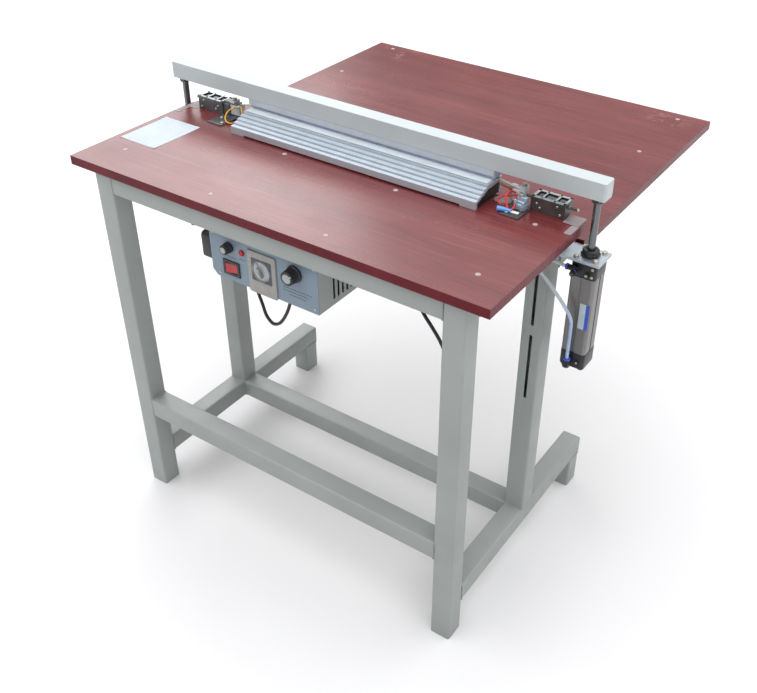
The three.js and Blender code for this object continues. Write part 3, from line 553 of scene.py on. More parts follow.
    def piece(
        self, name, material, body="root", slot=None, mirror=False, bevel=0.0, smooth=35, stands_for=(),
    ):
        """Turns the shape into a piece that rides on a body."""
        made = self.finished(name, MATERIALS[material], mirror, smooth)
        if bevel:
            soften(made, bevel)
        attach(made, body)
        if stands_for:
            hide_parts(*stands_for)
        return made


def soften(item, width, segments=2):
    """Rounds an object's sharp edges by a width in millimetres."""
    modifier = item.modifiers.new("soft_edges", "BEVEL")
    modifier.width = width * MM
    modifier.segments = segments
    modifier.limit_method = "ANGLE"
    modifier.angle_limit = math.radians(30)


def cut(item, cutter):
    """Takes a shape away from an object for good."""
    tool = cutter.finished("cutter", MATERIALS["black"])
    modifier = item.modifiers.new("cut", "BOOLEAN")
    modifier.operation = "DIFFERENCE"
    modifier.solver = "EXACT"
    modifier.object = tool
    graph = bpy.context.evaluated_depsgraph_get()
    graph.update()
    result = bpy.data.meshes.new_from_object(item.evaluated_get(graph))
    item.modifiers.remove(modifier)
    item.data = result
    item.data.set_sharp_from_angle(angle=math.radians(35))
    bpy.data.objects.remove(tool)


def dress(node, material, bevel=0.0, segments=2):
    """Gives a CAD node its material and soft edges."""
    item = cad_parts[node]
    item.data.materials.clear()
    item.data.materials.append(MATERIALS[material])
    if bevel:
        soften(item, bevel, segments)


def sides():
    """(suffix, mirror) for the right piece of a pair and its mirror image."""
    return (("right", False), ("left", True))


# ---------- mains cord ----------
CORD = 0.006
CORD_EXIT = (0.1093, -0.310, 0.665)
CORD_ROUTE = [
    CORD_EXIT, (0.128, -0.3105, 0.6646), (0.160, -0.3165, 0.6585), (0.192, -0.332, 0.652),
    (0.224, -0.353, 0.650), (0.246, -0.369, 0.646), (0.263, -0.378, 0.6355), (0.279, -0.379, 0.618),
    (0.293, -0.378, 0.598), (0.304, -0.375, 0.570), (0.311, -0.371, 0.530), (0.315, -0.367, 0.480),
    (0.317, -0.364, 0.400), (0.318, -0.362, 0.300), (0.318, -0.362, 0.200), (0.318, -0.362, 0.110),
    (0.318, -0.362, 0.060), (0.3165, -0.359, 0.029), (0.308, -0.344, 0.0095), (0.298, -0.327, 0.0044),
    (0.286, -0.304, 0.0033), (0.262, -0.256, 0.0033), (0.206, -0.168, 0.0033), (0.160, -0.078, 0.0033),
    (0.104, 0.008, 0.0033), (0.060, 0.096, 0.0033), (0.002, 0.182, 0.0033), (-0.040, 0.268, 0.0033),
    (-0.096, 0.354, 0.0033), (-0.138, 0.432, 0.0033), (-0.164, 0.482, 0.0033), (-0.1744, 0.513, 0.0033),
]
COIL_CENTRE = (-0.212, 0.542)
# (turns run, radius, height) of the coil's centreline
COIL_TURNS = [
    (0.0, 0.0390, 0.0033), (1.0, 0.0329, 0.0033), (2.0, 0.0269, 0.0033), (2.5, 0.0250, 0.0064),
    (3.0, 0.0266, 0.0095), (4.0, 0.0327, 0.0095), (5.28, 0.0390, 0.0095),
]


def coil_points():
    """Points on the coil, 24 a turn, counter-clockwise from the side where the cord comes in."""
    points = []
    start = math.radians(-10)
    for (t0, r0, z0), (t1, r1, z1) in zip(COIL_TURNS, COIL_TURNS[1:]):
        steps = round((t1 - t0) * 24)
        for i in range(steps):
            share = i / steps
            angle = start + math.tau * (t0 + (t1 - t0) * share)
            radius, height = r0 + (r1 - r0) * share, z0 + (z1 - z0) * share
            points.append((
                COIL_CENTRE[0] + radius * math.cos(angle), COIL_CENTRE[1] + radius * math.sin(angle), height,
            ))
    return points


def cord_tail():
    """From the end of the coil, tangentially, into the plug."""
    x, y = COIL_CENTRE
    return [(x, y + 0.0390, 0.0096), (x - 0.011, y + 0.0395, 0.0105), (x - 0.022, y + 0.0398, 0.0125)]


def make_cord():
    points = [*CORD_ROUTE, *coil_points(), *cord_tail()]
    line = smooth_line(points, 0.004)
    curve = bpy.data.curves.new("power_cord_line", "CURVE")
    curve.dimensions = "3D"
    curve.bevel_depth = CORD / 2
    curve.bevel_resolution = 3
    curve.use_fill_caps = True
    spline = curve.splines.new("POLY")
    spline.points.add(len(line) - 1)
    for point, place in zip(spline.points, line):
        point.co = (*place, 1)
    curve.materials.append(MATERIALS["cord"])
    cord = bpy.data.objects.new("mains_cord", curve)
    bpy.context.scene.collection.objects.link(cord)
    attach(cord, "root")
    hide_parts("power_cord", "cord_coil")

    # ribbed, tapered strain relief over the first stretch of the cord
    start = [Vector(p) / MM for p in line]
    reach = [p for p in start if (p - start[0]).length < 34]
    fine = smooth_line([reach[0] - Vector((2, 0, 0)), *reach[1:]], 0.5)
    ribs = 7

    def radius(share):
        return 5.8 - 2.3 * share + 0.45 * math.copysign(1, math.sin(share * ribs * math.tau))

    relief = Shape().tube(fine, radius, 20)
    relief = relief.piece("cord_strain_relief", "cord", slot="cord_rubber", smooth=50)
    plug = make_plug()


def make_plug():
    """A moulded two-blade plug that lies beside the coil, its cord end towards the coil."""
    x, y = [value / MM for value in COIL_CENTRE]
    centre, height = y + 40, 13
    sections = [
        (-22, 4.2, 4.2), (-34, 5.2, 5.2), (-44, 6.4, 6.2), (-46, 9.5, 9.0), (-50, 11.5, 11.2),
        (-58, 12, 12.3), (-70, 12, 12.3), (-76, 11.4, 11.8), (-78, 10, 10.6),
    ]
    rings = []
    for along, half_width, half_height in sections:
        corner = min(half_width, half_height) * (0.95 if half_width < 8 else 0.45)
        outline = rounded_rectangle(2 * half_width, 2 * half_height, corner, 5)
        rings.append([Vector((x + along, centre + a, height + b)) for a, b in outline])
    body = Shape().loft(rings)
    body = body.piece("plug_body", "black", slot="knob_black", smooth=45, stands_for=["mains_plug"])
    blades = Shape()
    for side in (-1, 1):
        low = (x - 96, centre + side * 6.5 - 0.8, height - 3.2)
        blades.block(low, (x - 77, low[1] + 1.6, height + 3.2))
    blades = blades.piece("plug_blades", "brass", slot="knob_black", bevel=0.4)
    return [body, blades]


# ---------- frame ----------
TUBE = 40
CROSS_RAILS = ("top_rail_front", "top_rail_rear", "base_rail_front", "base_rail_rear")


def frame_tube(name, axis):
    shape = Shape().square_tube(*span(name), axis)
    return shape.piece(f"{name}_tube", "frame", slot="frame_paint", stands_for=[name])


def make_frame():
    for suffix, _ in sides():
        for node, axis in (("leg_front", "z"), ("post_rear", "z"), ("top_rail", "y"), ("rear_arm", "y")):
            name = f"{node}_{suffix}"
            made = frame_tube(name, axis)
            if node == "post_rear":
                cut_slots(made, name)
        make_base_rail(suffix)
    for name in CROSS_RAILS:
        frame_tube(name, "x")
    make_leg_plugs()
    make_welds()


def cut_slots(made, name):
    """Two long slots with round ends through the front wall of a rear post."""
    low, high = span(name)
    x = (low.x + high.x) / 2
    half = 3
    for z0, z1 in ((387, 526), (546, 665)):
        outline = []
        for k in range(24):
            u, v = half * math.cos(math.tau * k / 24), half * math.sin(math.tau * k / 24)
            upper = v > 0 or (abs(v) < 1e-6 and u > 0)
            outline.append((u, v + (z1 - half if upper else z0 + half)))
        cut(made, Shape().prism(outline, "y", low.y - 2, low.y + 4, centre=(x, 0)))


def make_base_rail(suffix):
    """A low side rail with its foot welded under its back end."""
    name = f"base_rail_{suffix}"
    low, high = span(name)
    rail_low = Vector((low.x, low.y, high.z - TUBE))
    foot_low = Vector((low.x, high.y - TUBE, low.z))
    foot_high = Vector((high.x, high.y, high.z - TUBE - 0.2))
    shape = Shape().square_tube(rail_low, high, "y")
    shape.square_tube(foot_low, foot_high, "z")
    shape.piece(f"{name}_tube", "frame", slot="frame_paint", stands_for=[name])


def make_leg_plugs():
    """Closed ends: a welded cap under each foot, and plastic plugs in the open ends at the back."""
    caps = Shape()
    for suffix, _ in sides():
        for node in ("leg_front", "base_rail"):
            low, high = span(f"{node}_{suffix}")
            y = low.y + TUBE / 2 if node == "leg_front" else high.y - TUBE / 2
            x = (low.x + high.x) / 2
            caps.prism(rounded_rectangle(37, 37, 2.4), "z", 0.0, 2.0, centre=(x, y))
    caps.piece("foot_caps", "frame", slot="frame_paint")
    plugs = Shape()
    for suffix, _ in sides():
        for node in ("base_rail", "rear_arm"):
            low, high = span(f"{node}_{suffix}")
            x, z = (low.x + high.x) / 2, high.z - TUBE / 2
            plugs.prism(rounded_rectangle(35.4, 35.4, 2), "y", high.y - 8, high.y + 0.6, centre=(x, z))
    plugs.piece("tube_end_plugs", "black", slot="knob_black", bevel=0.8)


def weld(shape, axis, place, centre):
    """A rippled bead round a tube where it meets another."""
    outline = rounded_rectangle(TUBE, TUBE, 3.4, 3)
    line = []
    for (a0, b0), (a1, b1) in zip(outline, outline[1:] + outline[:1]):
        steps = max(1, round(math.hypot(a1 - a0, b1 - b0) / 1.6))
        for i in range(steps):
            share = i / steps
            a, b = centre[0] + a0 + (a1 - a0) * share, centre[1] + b0 + (b1 - b0) * share
            line.append(at(axis, place + RANDOM.uniform(-0.25, 0.25), a, b))
    line.append(line[0])
    ripple = len(line) * 1.7
    shape.tube(line, lambda s: 1.45 + 0.25 * math.sin(s * ripple) + RANDOM.uniform(-0.12, 0.12), 8)


def make_welds():
    shape = Shape()
    half = TUBE / 2
    for suffix, mirror in sides():
        inner_face = -341 if mirror else 341
        for rail in CROSS_RAILS:
            low, high = span(rail)
            weld(shape, "x", inner_face, ((low.y + high.y) / 2, (low.z + high.z) / 2))
        low, high = span(f"top_rail_{suffix}")
        x, z = (low.x + high.x) / 2, (low.z + high.z) / 2
        weld(shape, "y", low.y, (x, z))
        weld(shape, "y", high.y, (x, z))
        low, high = span(f"base_rail_{suffix}")
        weld(shape, "y", low.y, (x, high.z - half))
        weld(shape, "z", high.z - TUBE, (x, high.y - half))
        low, _ = span(f"post_rear_{suffix}")
        weld(shape, "z", low.z, (x, low.y + half))
        low, high = span(f"rear_arm_{suffix}")
        weld(shape, "y", low.y, (x, high.z - half))
    shape.piece("frame_welds", "frame", slot="frame_paint", smooth=60)


# ---------- tables ----------
FRONT_CAPS = [(-365, -392), (-123, -431), (115, -431), (363, -395), (-124, -243), (116, -245), (361, -215)]
REAR_CAPS = [(-373, 251), (-365, 443), (354, 436), (351, 242), (-360, -95), (352, -98)]


def make_tables():
    for node, places in (("front_table_top", FRONT_CAPS), ("rear_table_top", REAR_CAPS)):
        dress(node, "laminate", 1.0, 3)
        top = span(node)[1].z
        caps = Shape()
        for x, y in places:
            caps.turned([
                (0, top - 0.6), (4.5, top - 0.6), (4.5, top + 0.1), (3.8, top + 0.55), (2.0, top + 0.75),
                (0, top + 0.8),
            ], "z", (x, y), 20)
        caps.piece(f"{node}_screw_caps", "cap", slot="table_laminate", smooth=60)
    make_paper()
    make_screws_under()


def make_paper():
    """A sheet of paper glued to the front table, its corners a little lifted."""
    top = span("front_table_top")[1].z
    corners = [Vector((x, y, 0)) for x, y in ((-411, -246), (-324, -246), (-326, -361), (-412, -360))]
    steps = 14
    shape = Shape()
    grids = []
    for lift in (0.12, 0.32):
        grid = []
        for i in range(steps + 1):
            row = []
            for j in range(steps + 1):
                u, v = i / steps, j / steps
                point = corners[0].lerp(corners[1], u).lerp(corners[3].lerp(corners[2], u), v)
                curl = max(0, abs(u - 0.5) + abs(v - 0.5) - 0.8) ** 2 * 14
                point.z = top + lift + curl
                row.append(shape.bm.verts.new(point))
            grid.append(row)
        grids.append(grid)
    low, high = grids
    for i in range(steps):
        for j in range(steps):
            for grid in grids:
                shape.bm.faces.new((grid[i][j], grid[i + 1][j], grid[i + 1][j + 1], grid[i][j + 1]))
    edge = [(i, 0) for i in range(steps)] + [(steps, j) for j in range(steps)]
    edge += [(i, steps) for i in range(steps, 0, -1)] + [(0, j) for j in range(steps, 0, -1)]
    for (i0, j0), (i1, j1) in zip(edge, edge[1:] + edge[:1]):
        shape.bm.faces.new((low[i0][j0], low[i1][j1], high[i1][j1], high[i0][j0]))
    shape.piece("table_paper", "paper", slot="release_cloth", smooth=40)


def make_screws_under():
    """Pan-head screws that hold the boards to the frame from below."""
    shape = Shape()
    for suffix, mirror in sides():
        x = -361 if mirror else 361
        for rail, places in ((f"rear_arm_{suffix}", (-95, 120, 400)), (f"top_rail_{suffix}", (-380, -240))):
            for y in places:
                screw(shape, (x, y, span(rail)[0].z), "z", -1)
    for x in (-200, 230):
        screw(shape, (x, -434, span("top_rail_front")[0].z), "z", -1)
    shape.piece("frame_screws", "bolt", slot="zinc_steel", smooth=50)


def screw(shape, place, axis, way, head=4.2, height=2.6):
    """A pan head with a round recess; way is the side of its face, 1 or -1 along the axis."""
    along = "xyz".index(axis)
    base = place[along]
    centre = [place[i] for i in range(3) if i != along]
    profile = [
        (0, base), (head, base), (head, base + way * height * 0.5), (head * 0.8, base + way * height * 0.9),
        (head * 0.35, base + way * height), (head * 0.3, base + way * height * 0.6),
        (0, base + way * height * 0.5),
    ]
    shape.turned(profile, axis, centre, 20)


# ---------- jaws and beam ----------
def make_jaws():
    dress("lower_jaw", "aluminium", 0.35)
    dress("upper_jaw", "upper_aluminium", 0.4)
    dress("press_beam", "beam", 0.8, 3)
    dress("jaw_pad", "silicone", 0.4)
    dress("heating_strip", "alloy", 0.05)
    dress("release_cloth", "cloth")
    # A black block that fills the jaw's hollow: painted shade, a dark piece standing where the hollow only
    # lies in shade.
    outline = [(-225, 756), (-153.5, 756), (-153.5, 776), (-192, 776), (-225, 762.5)]
    core = Shape().prism(outline, "x", -259.5, 259.5)
    core.piece("jaw_hollow_shade_block", "black", slot="knob_black", bevel=0.4)
    low, high = span("press_beam")
    outline = rounded_rectangle(high.y - low.y - 5, high.z - low.z - 5, 2.0)
    centre = ((low.y + high.y) / 2, (low.z + high.z) / 2)
    caps = Shape()
    for x0, x1 in ((low.x - 0.15, low.x + 1.55), (high.x - 1.55, high.x + 0.15)):
        caps.prism(outline, "x", x0, x1, centre)
    caps.piece("beam_end_plates", "beam", "press", slot="beam_paint", bevel=0.4)

    # screws that hold the upper jaw to the beam, from the back, and the jaw to the board
    back = span("upper_jaw")[1]
    screws = Shape()
    for x in (-220, -75, 75, 220):
        screw(screws, (x, back.y, back.z - 4.5), "y", 1, 3.4, 2.2)
    screws.piece("upper_jaw_screws", "bolt", "press", slot="zinc_steel", smooth=50)
    jaw = span("lower_jaw")[1]
    screws = Shape()
    for x in (-235, -80, 80, 235):
        screw(screws, (x, jaw.y, 768), "y", 1, 3.4, 2.2)
    screws.piece("lower_jaw_screws", "bolt", slot="zinc_steel", smooth=50)


# ---------- cylinders ----------
def make_cylinders():
    for suffix, mirror in sides():
        dress(f"cylinder_barrel_{suffix}", "barrel", 0.5)
        dress(f"mounting_bracket_{suffix}", "zinc", 0.5)
        make_head(suffix, mirror)
        make_base(suffix, mirror)
        make_rod(suffix, mirror)
        make_bracket_bolts(suffix, mirror)
        make_sticker(suffix, mirror)


# the right cylinder: (x, y) of its axis, y of its front face, (x, z) of its two fittings and their studs
AXIS = (438.4, -162.0)
HEAD_FACE = -184.5
CONTROL = (426, 679)
CONTROL_STUD = (446, 676)
ELBOW_X = 433.5
ELBOW_STUD = (449, 503)
ELBOW = (ELBOW_X, HEAD_FACE - 8)
PORT = (HEAD_FACE - 7, 685)


def cast_block(shape, z0, z1):
    """A cast square block with rounded upright corners and a soft edge above and below."""
    layers = ((1.2, z0), (0.3, z0 + 0.4), (0, z0 + 1.4), (0, z1 - 1.4), (0.3, z1 - 0.4), (1.2, z1))
    shape.stack("z", AXIS, (45, 45), 6.5, layers, 6)


def make_head(suffix, mirror):
    name = f"cylinder_head_{suffix}"
    z0, top = span(name)[0].z, span(name)[1].z
    shape = Shape()
    cast_block(shape, z0, 694.6)
    shape.turned([
        (6.4, 694), (12.5, 694), (12.5, top - 12), (14.2, top - 12), (14.8, top - 11), (14.8, top - 7.2),
        (14.0, top - 6.4), (13.6, top - 1.6), (12.2, top - 0.2), (10.2, top), (8.2, top), (7.6, top - 1.6),
        (6.4, top - 1.6),
    ], "z", AXIS, 48)
    shape.bar("y", HEAD_FACE - 12, HEAD_FACE + 2, CONTROL, 5.2)
    shape.hexagon("y", HEAD_FACE - 3, HEAD_FACE + 1, CONTROL, 12)
    shape.bar("x", 414, 428, PORT, 4.8)
    shape.bar("y", HEAD_FACE - 4, HEAD_FACE + 2, CONTROL_STUD, 4.2)
    shape.piece(f"{name}_cast", "black_paint", slot="head_black", mirror=mirror, stands_for=[name])

    # eight lugs round the neck nut take a hook spanner
    notches = Shape()
    for k in range(8):
        angle = math.tau * (k + 0.5) / 8
        x, y = AXIS[0] + 14.4 * math.cos(angle), AXIS[1] + 14.4 * math.sin(angle)
        notches.bar("z", top - 11, top - 7.4, (x, y), 1.7, sides=12, chamfer=0.2)
    notches.piece(f"neck_nut_lugs_{suffix}", "black_paint", slot="head_black", mirror=mirror)

    knob = Shape()
    knurl(knob, "y", HEAD_FACE - 17.8, HEAD_FACE - 12.4, CONTROL, 4.2, 18)
    knob.piece(
        f"flow_knob_{suffix}_knurled", "black", f"flow_screw_{suffix}", "knob_black", mirror,
        stands_for=[f"flow_knob_{suffix}"],
    )
    slot = Shape().block((423.2, HEAD_FACE - 17.95, 678.6), (428.8, HEAD_FACE - 17.6, 679.4))
    slot.piece(f"flow_knob_slot_{suffix}", "silver", f"flow_screw_{suffix}", "knob_black", mirror)

    ring = Shape().bar("x", 411.4, 414.6, PORT, 5.6)
    ring.bar("y", HEAD_FACE - 10.6, HEAD_FACE - 8.6, CONTROL, 5.5)
    ring.piece(f"upper_push_ring_{suffix}", "blue", slot="knob_black", mirror=mirror, smooth=40)
    screws = Shape()
    for z in (688, 673.5):
        screw(screws, (454, HEAD_FACE, z), "y", -1, 2.6, 1.4)
    disc(screws, "y", HEAD_FACE - 4, HEAD_FACE - 5, CONTROL_STUD, 2.4, 16)
    screws.piece(f"head_screws_{suffix}", "bolt", slot="zinc_steel", mirror=mirror, smooth=50)


def disc(shape, axis, start, end, centre, radius, sides):
    shape.turned([(0, start), (radius, start), (radius, end), (0, end)], axis, centre, sides)


def knurl(shape, axis, low, high, centre, radius, teeth):
    """A drum with straight teeth round it."""
    rings = []
    for along, shrink in ((low, 0.88), (low + 0.5, 1), (high - 0.5, 1), (high, 0.88)):
        ring = []
        for i in range(teeth * 4):
            wave = radius * shrink - (0.35 if (i // 2) % 2 else 0)
            angle = math.tau * i / (teeth * 4)
            a, b = centre[0] + wave * math.cos(angle), centre[1] + wave * math.sin(angle)
            ring.append(at(axis, along, a, b))
        rings.append(ring)
    shape.loft(rings)


def make_base(suffix, mirror):
    name = f"cylinder_base_{suffix}"
    low, high = span(name)
    shape = Shape()
    cast_block(shape, low.z + 2.5, high.z)
    for place in four_corners(AXIS, 15.5):
        shape.bar("z", low.z + 0.2, low.z + 4, place, 5.6, chamfer=1.0)
    shape.bar("y", HEAD_FACE - 14.5, HEAD_FACE + 2, (ELBOW_X, 501.5), 6.6, chamfer=1.2)
    shape.hexagon("y", HEAD_FACE - 2.5, HEAD_FACE + 1, (ELBOW_X, 503), 11.5)
    shape.bar("z", 493, 508.5, ELBOW, 6.4, chamfer=1.0)
    shape.bar("y", HEAD_FACE - 3, HEAD_FACE + 1, ELBOW_STUD, 3.6)
    shape.piece(f"{name}_cast", "black_paint", slot="head_black", mirror=mirror, stands_for=[name])
    ring = Shape().turned([
        (3.2, 507.6), (6.0, 507.6), (6.6, 508.4), (6.6, 510.4), (6.0, 511.2), (3.2, 511.2),
    ], "z", ELBOW, 32)
    ring.piece(f"lower_push_ring_{suffix}", "blue", slot="knob_black", mirror=mirror, smooth=40)
    sockets = Shape()
    for place in four_corners(AXIS, 15.5):
        sockets.turned([
            (0, low.z + 1.6), (1.6, low.z + 1.6), (1.6, low.z + 0.05), (3.0, low.z + 0.05),
            (3.0, low.z + 2.4), (0, low.z + 2.4),
        ], "z", place, 18)
    disc(sockets, "y", HEAD_FACE - 3, HEAD_FACE - 3.6, ELBOW_STUD, 2, 16)
    sockets.piece(f"base_screws_{suffix}", "bolt", slot="zinc_steel", mirror=mirror, smooth=50)


def make_rod(suffix, mirror):
    name = f"piston_rod_{suffix}"
    low, high = span(name)
    shape = Shape().turned([
        (0, low.z), (14.6, low.z), (15.7, low.z + 1), (15.7, low.z + 7), (14, low.z + 7), (14, low.z + 12),
        (15.7, low.z + 12), (15.7, low.z + 19), (14.6, low.z + 20), (6, low.z + 20), (6, high.z - 1),
        (5, high.z), (0, high.z),
    ], "z", AXIS, 48)
    shape.hexagon("z", 796.7, 803.7, AXIS, 18)
    shape.bar("z", 794.9, 796.9, AXIS, 9.8, sides=40)
    shape.piece(f"{name}_ground", "chrome", "press", "rod_chrome", mirror, stands_for=[name])


def make_bracket_bolts(suffix, mirror):
    top = 700.0
    bolts = Shape()
    for place in four_corners(AXIS, 17):
        bolts.bar("z", top - 0.2, top + 0.9, place, 5.4, chamfer=0.2)
        bolts.bar("z", top + 0.8, top + 4.3, place, 4.3, chamfer=0.6)
        disc(bolts, "z", top + 4.5, top + 4.1, place, 2.2, 6)
    for y, z in ((-176, 716), (-148, 716)):
        bolts.bar("x", 386.2, 387.4, (y, z), 6.0, chamfer=0.2)
        bolts.hexagon("x", 387.2, 391.6, (y, z), 9.6)
    bolts.piece(f"bracket_bolts_{suffix}", "bolt", slot="zinc_steel", mirror=mirror, smooth=40)


def make_sticker(suffix, mirror):
    """A plain two-tone sticker on the barrel's front face."""
    y = span(f"cylinder_barrel_{suffix}")[0].y
    low = Shape().block((441, y - 0.12, 571), (458.4, y + 0.02, 620))
    low.piece(f"barrel_sticker_{suffix}", "sticker", slot="panel_paint", mirror=mirror)
    band = Shape().block((452, y - 0.2, 571), (458.4, y - 0.06, 620))
    band.piece(f"barrel_sticker_band_{suffix}", "blue", slot="panel_paint", mirror=mirror)


# ---------- hoses, valve, lead ----------
def hose_routes():
    """The routes of the four air hoses, between the valve and the cylinders' fittings."""
    low_y, high_y = ELBOW[1], PORT[0]
    low_z, high_z = 711, 728
    valve = span("solenoid_valve")
    from_elbow = [
        (ELBOW_X, low_y, 509.3), (ELBOW_X, low_y, 530), (ELBOW_X, low_y, 565), (432.5, low_y - 2, 590),
        (420, low_y - 6, 614), (398, low_y - 8, 640), (374, low_y - 8, 662), (340, low_y - 10, 683),
        (300, low_y - 18, 694),
    ]
    from_control = [
        (413.0, high_y, 685), (406, high_y, 685), (388, high_y - 1, 688), (366, high_y - 5, 690),
        (336, high_y - 13, 692), (304, high_y - 33, 704),
    ]

    def flip(points):
        return [(-x, y, z) for x, y, z in points]

    def across(y, z):
        return [
            (-150, y, z - 8), (-40, y, z - 10), (60, y, z - 8), (110, y, z - 2), (134, y, z),
            (valve[0].x - 0.1, y, z),
        ]

    right = valve[1].x + 0.1
    return {
        "lower_air_hose_right": [
            *from_elbow, (268, low_y - 28, 707), (248, low_y - 30, low_z), (right, low_y - 30, low_z),
        ],
        "upper_air_hose_right": [
            *from_control, (272, high_y - 43, 722), (248, high_y - 45, high_z), (right, high_y - 45, high_z),
        ],
        "lower_air_hose_left": [*flip(from_elbow), *across(low_y - 30, low_z)],
        "upper_air_hose_left": [*flip(from_control), *across(high_y - 45, high_z)],
    }


def make_air_supply():
    for name, points in hose_routes().items():
        Shape().tube(smooth_line(points, 4), 3.0, 16).piece(
            f"{name}_tube", "hose", slot="air_hose", smooth=60, stands_for=[name],
        )
    dress("solenoid_valve", "aluminium", 0.8)
    low, high = span("solenoid_valve")
    details = Shape()
    for y, z in ((-222.5, 711), (-236.5, 728)):
        for x0, x1 in ((low.x - 4, low.x + 1), (high.x - 1, high.x + 4)):
            details.bar("x", x0, x1, (y, z), 4.8)
    details.block((high.x - 24, low.y + 2, high.z - 2), (high.x - 4, high.y - 2, high.z - 0.6))
    details.piece("valve_fittings", "black", slot="knob_black", bevel=0.3)
    layers = ((1.0, high.x - 25), (0, high.x - 24), (0, high.x - 2), (1.0, high.x - 0.6))
    coil = Shape().stack("x", ((low.y + high.y) / 2, 721), (29, 31), 3, layers)
    coil.piece("valve_coil", "black", slot="knob_black")

    lead = [
        (6, -398, 597.2), (6, -398, 586), (0.5, -399, 562), (-9, -400, 540), (-24, -400, 519),
        (-40, -399, 512), (-54, -398, 522), (-64, -396, 543), (-77, -393, 568), (-84, -392, 586),
        (-84, -392, 597.2),
    ]
    Shape().tube(smooth_line(lead, 3), 3.0, 16).piece(
        "control_lead_cable", "cord", slot="cord_rubber", smooth=60, stands_for=["control_lead"],
    )


# ---------- control box ----------
PANEL_Y = -440.0


def make_control_box():
    dress("control_case", "frame", 0.5)
    dress("control_panel", "panel", 0.3)
    dress("transformer", "winding", 1.5)
    dress("switch_bezel", "black", 0.6)
    dress("rocker_switch", "red", 0.5)
    make_glands()
    make_connector()
    make_knob("small_knob", "small_dial_knob", (-85.5, 672), 9.8, 8.8, 15, pointer=150)
    make_knob("large_knob", "large_dial_knob", (54, 669), 15.5, 13, 20, pointer=35)
    make_pilot()
    make_timer()
    make_panel_marks()


def make_glands():
    shape = Shape()
    for x, y in ((6, -398), (-84, -392)):
        shape.hexagon("z", 600.5, 606.3, (x, y), 14)
        shape.turned([(3.2, 597.2), (5.0, 597.2), (6.3, 599.5), (6.3, 601), (3.2, 601)], "z", (x, y), 24)
    shape.hexagon("x", 100.8, 106, (-310, 665), 15)
    shape.turned([(3.4, 105), (6.6, 105), (6.6, 107.5), (5.9, 109), (3.4, 109)], "x", (-310, 665), 28)
    shape.piece("cable_glands", "black", slot="knob_black", smooth=40)


def make_connector():
    """The angled mains connector: a moulded shell, a cable boot below it and a ribbed grip."""
    low, high = span("mains_connector")
    layers = ((3, 630.2), (1, 631.5), (0, 634), (0, 672), (1.5, 677), (4.5, 679.8))
    shape = Shape().stack("z", ((low.x + high.x) / 2, -423), (25.4, 27.8), 4.5, layers, 5)
    shape.bar("y", -411, -388.2, (-143, 640), 6.4, 5.0)
    for i in range(5):
        z = 644 + i * 5
        shape.block((low.x - 0.1, -434, z), (low.x + 1.2, -412, z + 2.2))
    shape.piece("mains_connector_shell", "black", slot="knob_black", stands_for=["mains_connector"])


def make_knob(node, body, centre, base, tip, length, pointer):
    """A fluted knob with a skirt, a spun metal cap and a white line that points from its centre."""
    foot = -441.0
    end = foot - length
    shape = Shape()
    flutes = 16
    profile = [(foot, base), (foot - 2.4, base - 0.3), (foot - 3.2, tip + 1.0), (foot - 4, tip + 0.4),
               (end + 1.2, tip - 0.2), (end, tip - 1.6)]
    rings = []
    for index, (y, radius) in enumerate(profile):
        ring = []
        for i in range(flutes * 6):
            angle = math.tau * i / (flutes * 6)
            groove = 0.0 if index < 3 else 0.8 * max(0, math.cos(angle * flutes)) ** 2
            size = radius - groove
            ring.append(Vector((centre[0] + size * math.cos(angle), y, centre[1] + size * math.sin(angle))))
        rings.append(ring)
    shape.loft(rings)
    shape.bar("y", foot - 1, -428.2, centre, 3.0)
    shape.piece(f"{node}_fluted", "black", body, "knob_black", smooth=40, stands_for=[node])
    cap_radius = tip * 0.64
    cap = Shape().turned([
        (0, end - 0.5), (cap_radius * 0.3, end - 0.42), (cap_radius * 0.94, end - 0.3), (cap_radius, end),
        (cap_radius, end + 0.6), (0, end + 0.6),
    ], "y", centre, 48)
    cap.piece(f"{node}_cap", "silver", body, "zinc_steel", smooth=50)
    line = Shape()
    radial_mark(line, centre, math.radians(pointer), cap_radius + 0.4, tip - 1.6, 0.6, end - 0.15, end + 0.4)
    line.piece(f"{node}_pointer", "white", body, "knob_black")


def make_pilot():
    x, z, y = -57.5, 669.5, PANEL_Y
    lens = Shape().turned([
        (0, y - 6), (2.0, y - 5.8), (3.6, y - 4.9), (4.6, y - 3.2), (4.9, y - 1.4), (4.9, y - 0.2),
        (3.9, y - 0.2), (3.9, y + 13.6), (0, y + 13.6),
    ], "y", (x, z), 32)
    lens.piece("pilot_lens", "red", slot="signal_red", smooth=50, stands_for=["pilot_lamp"])
    ring = Shape().turned([
        (5.0, y - 0.25), (5.6, y - 0.25), (5.6, y - 1.2), (5.3, y - 2.0), (5.0, y - 2.0),
    ], "y", (x, z), 32)
    ring.piece("pilot_ring", "red", slot="signal_red", smooth=40)


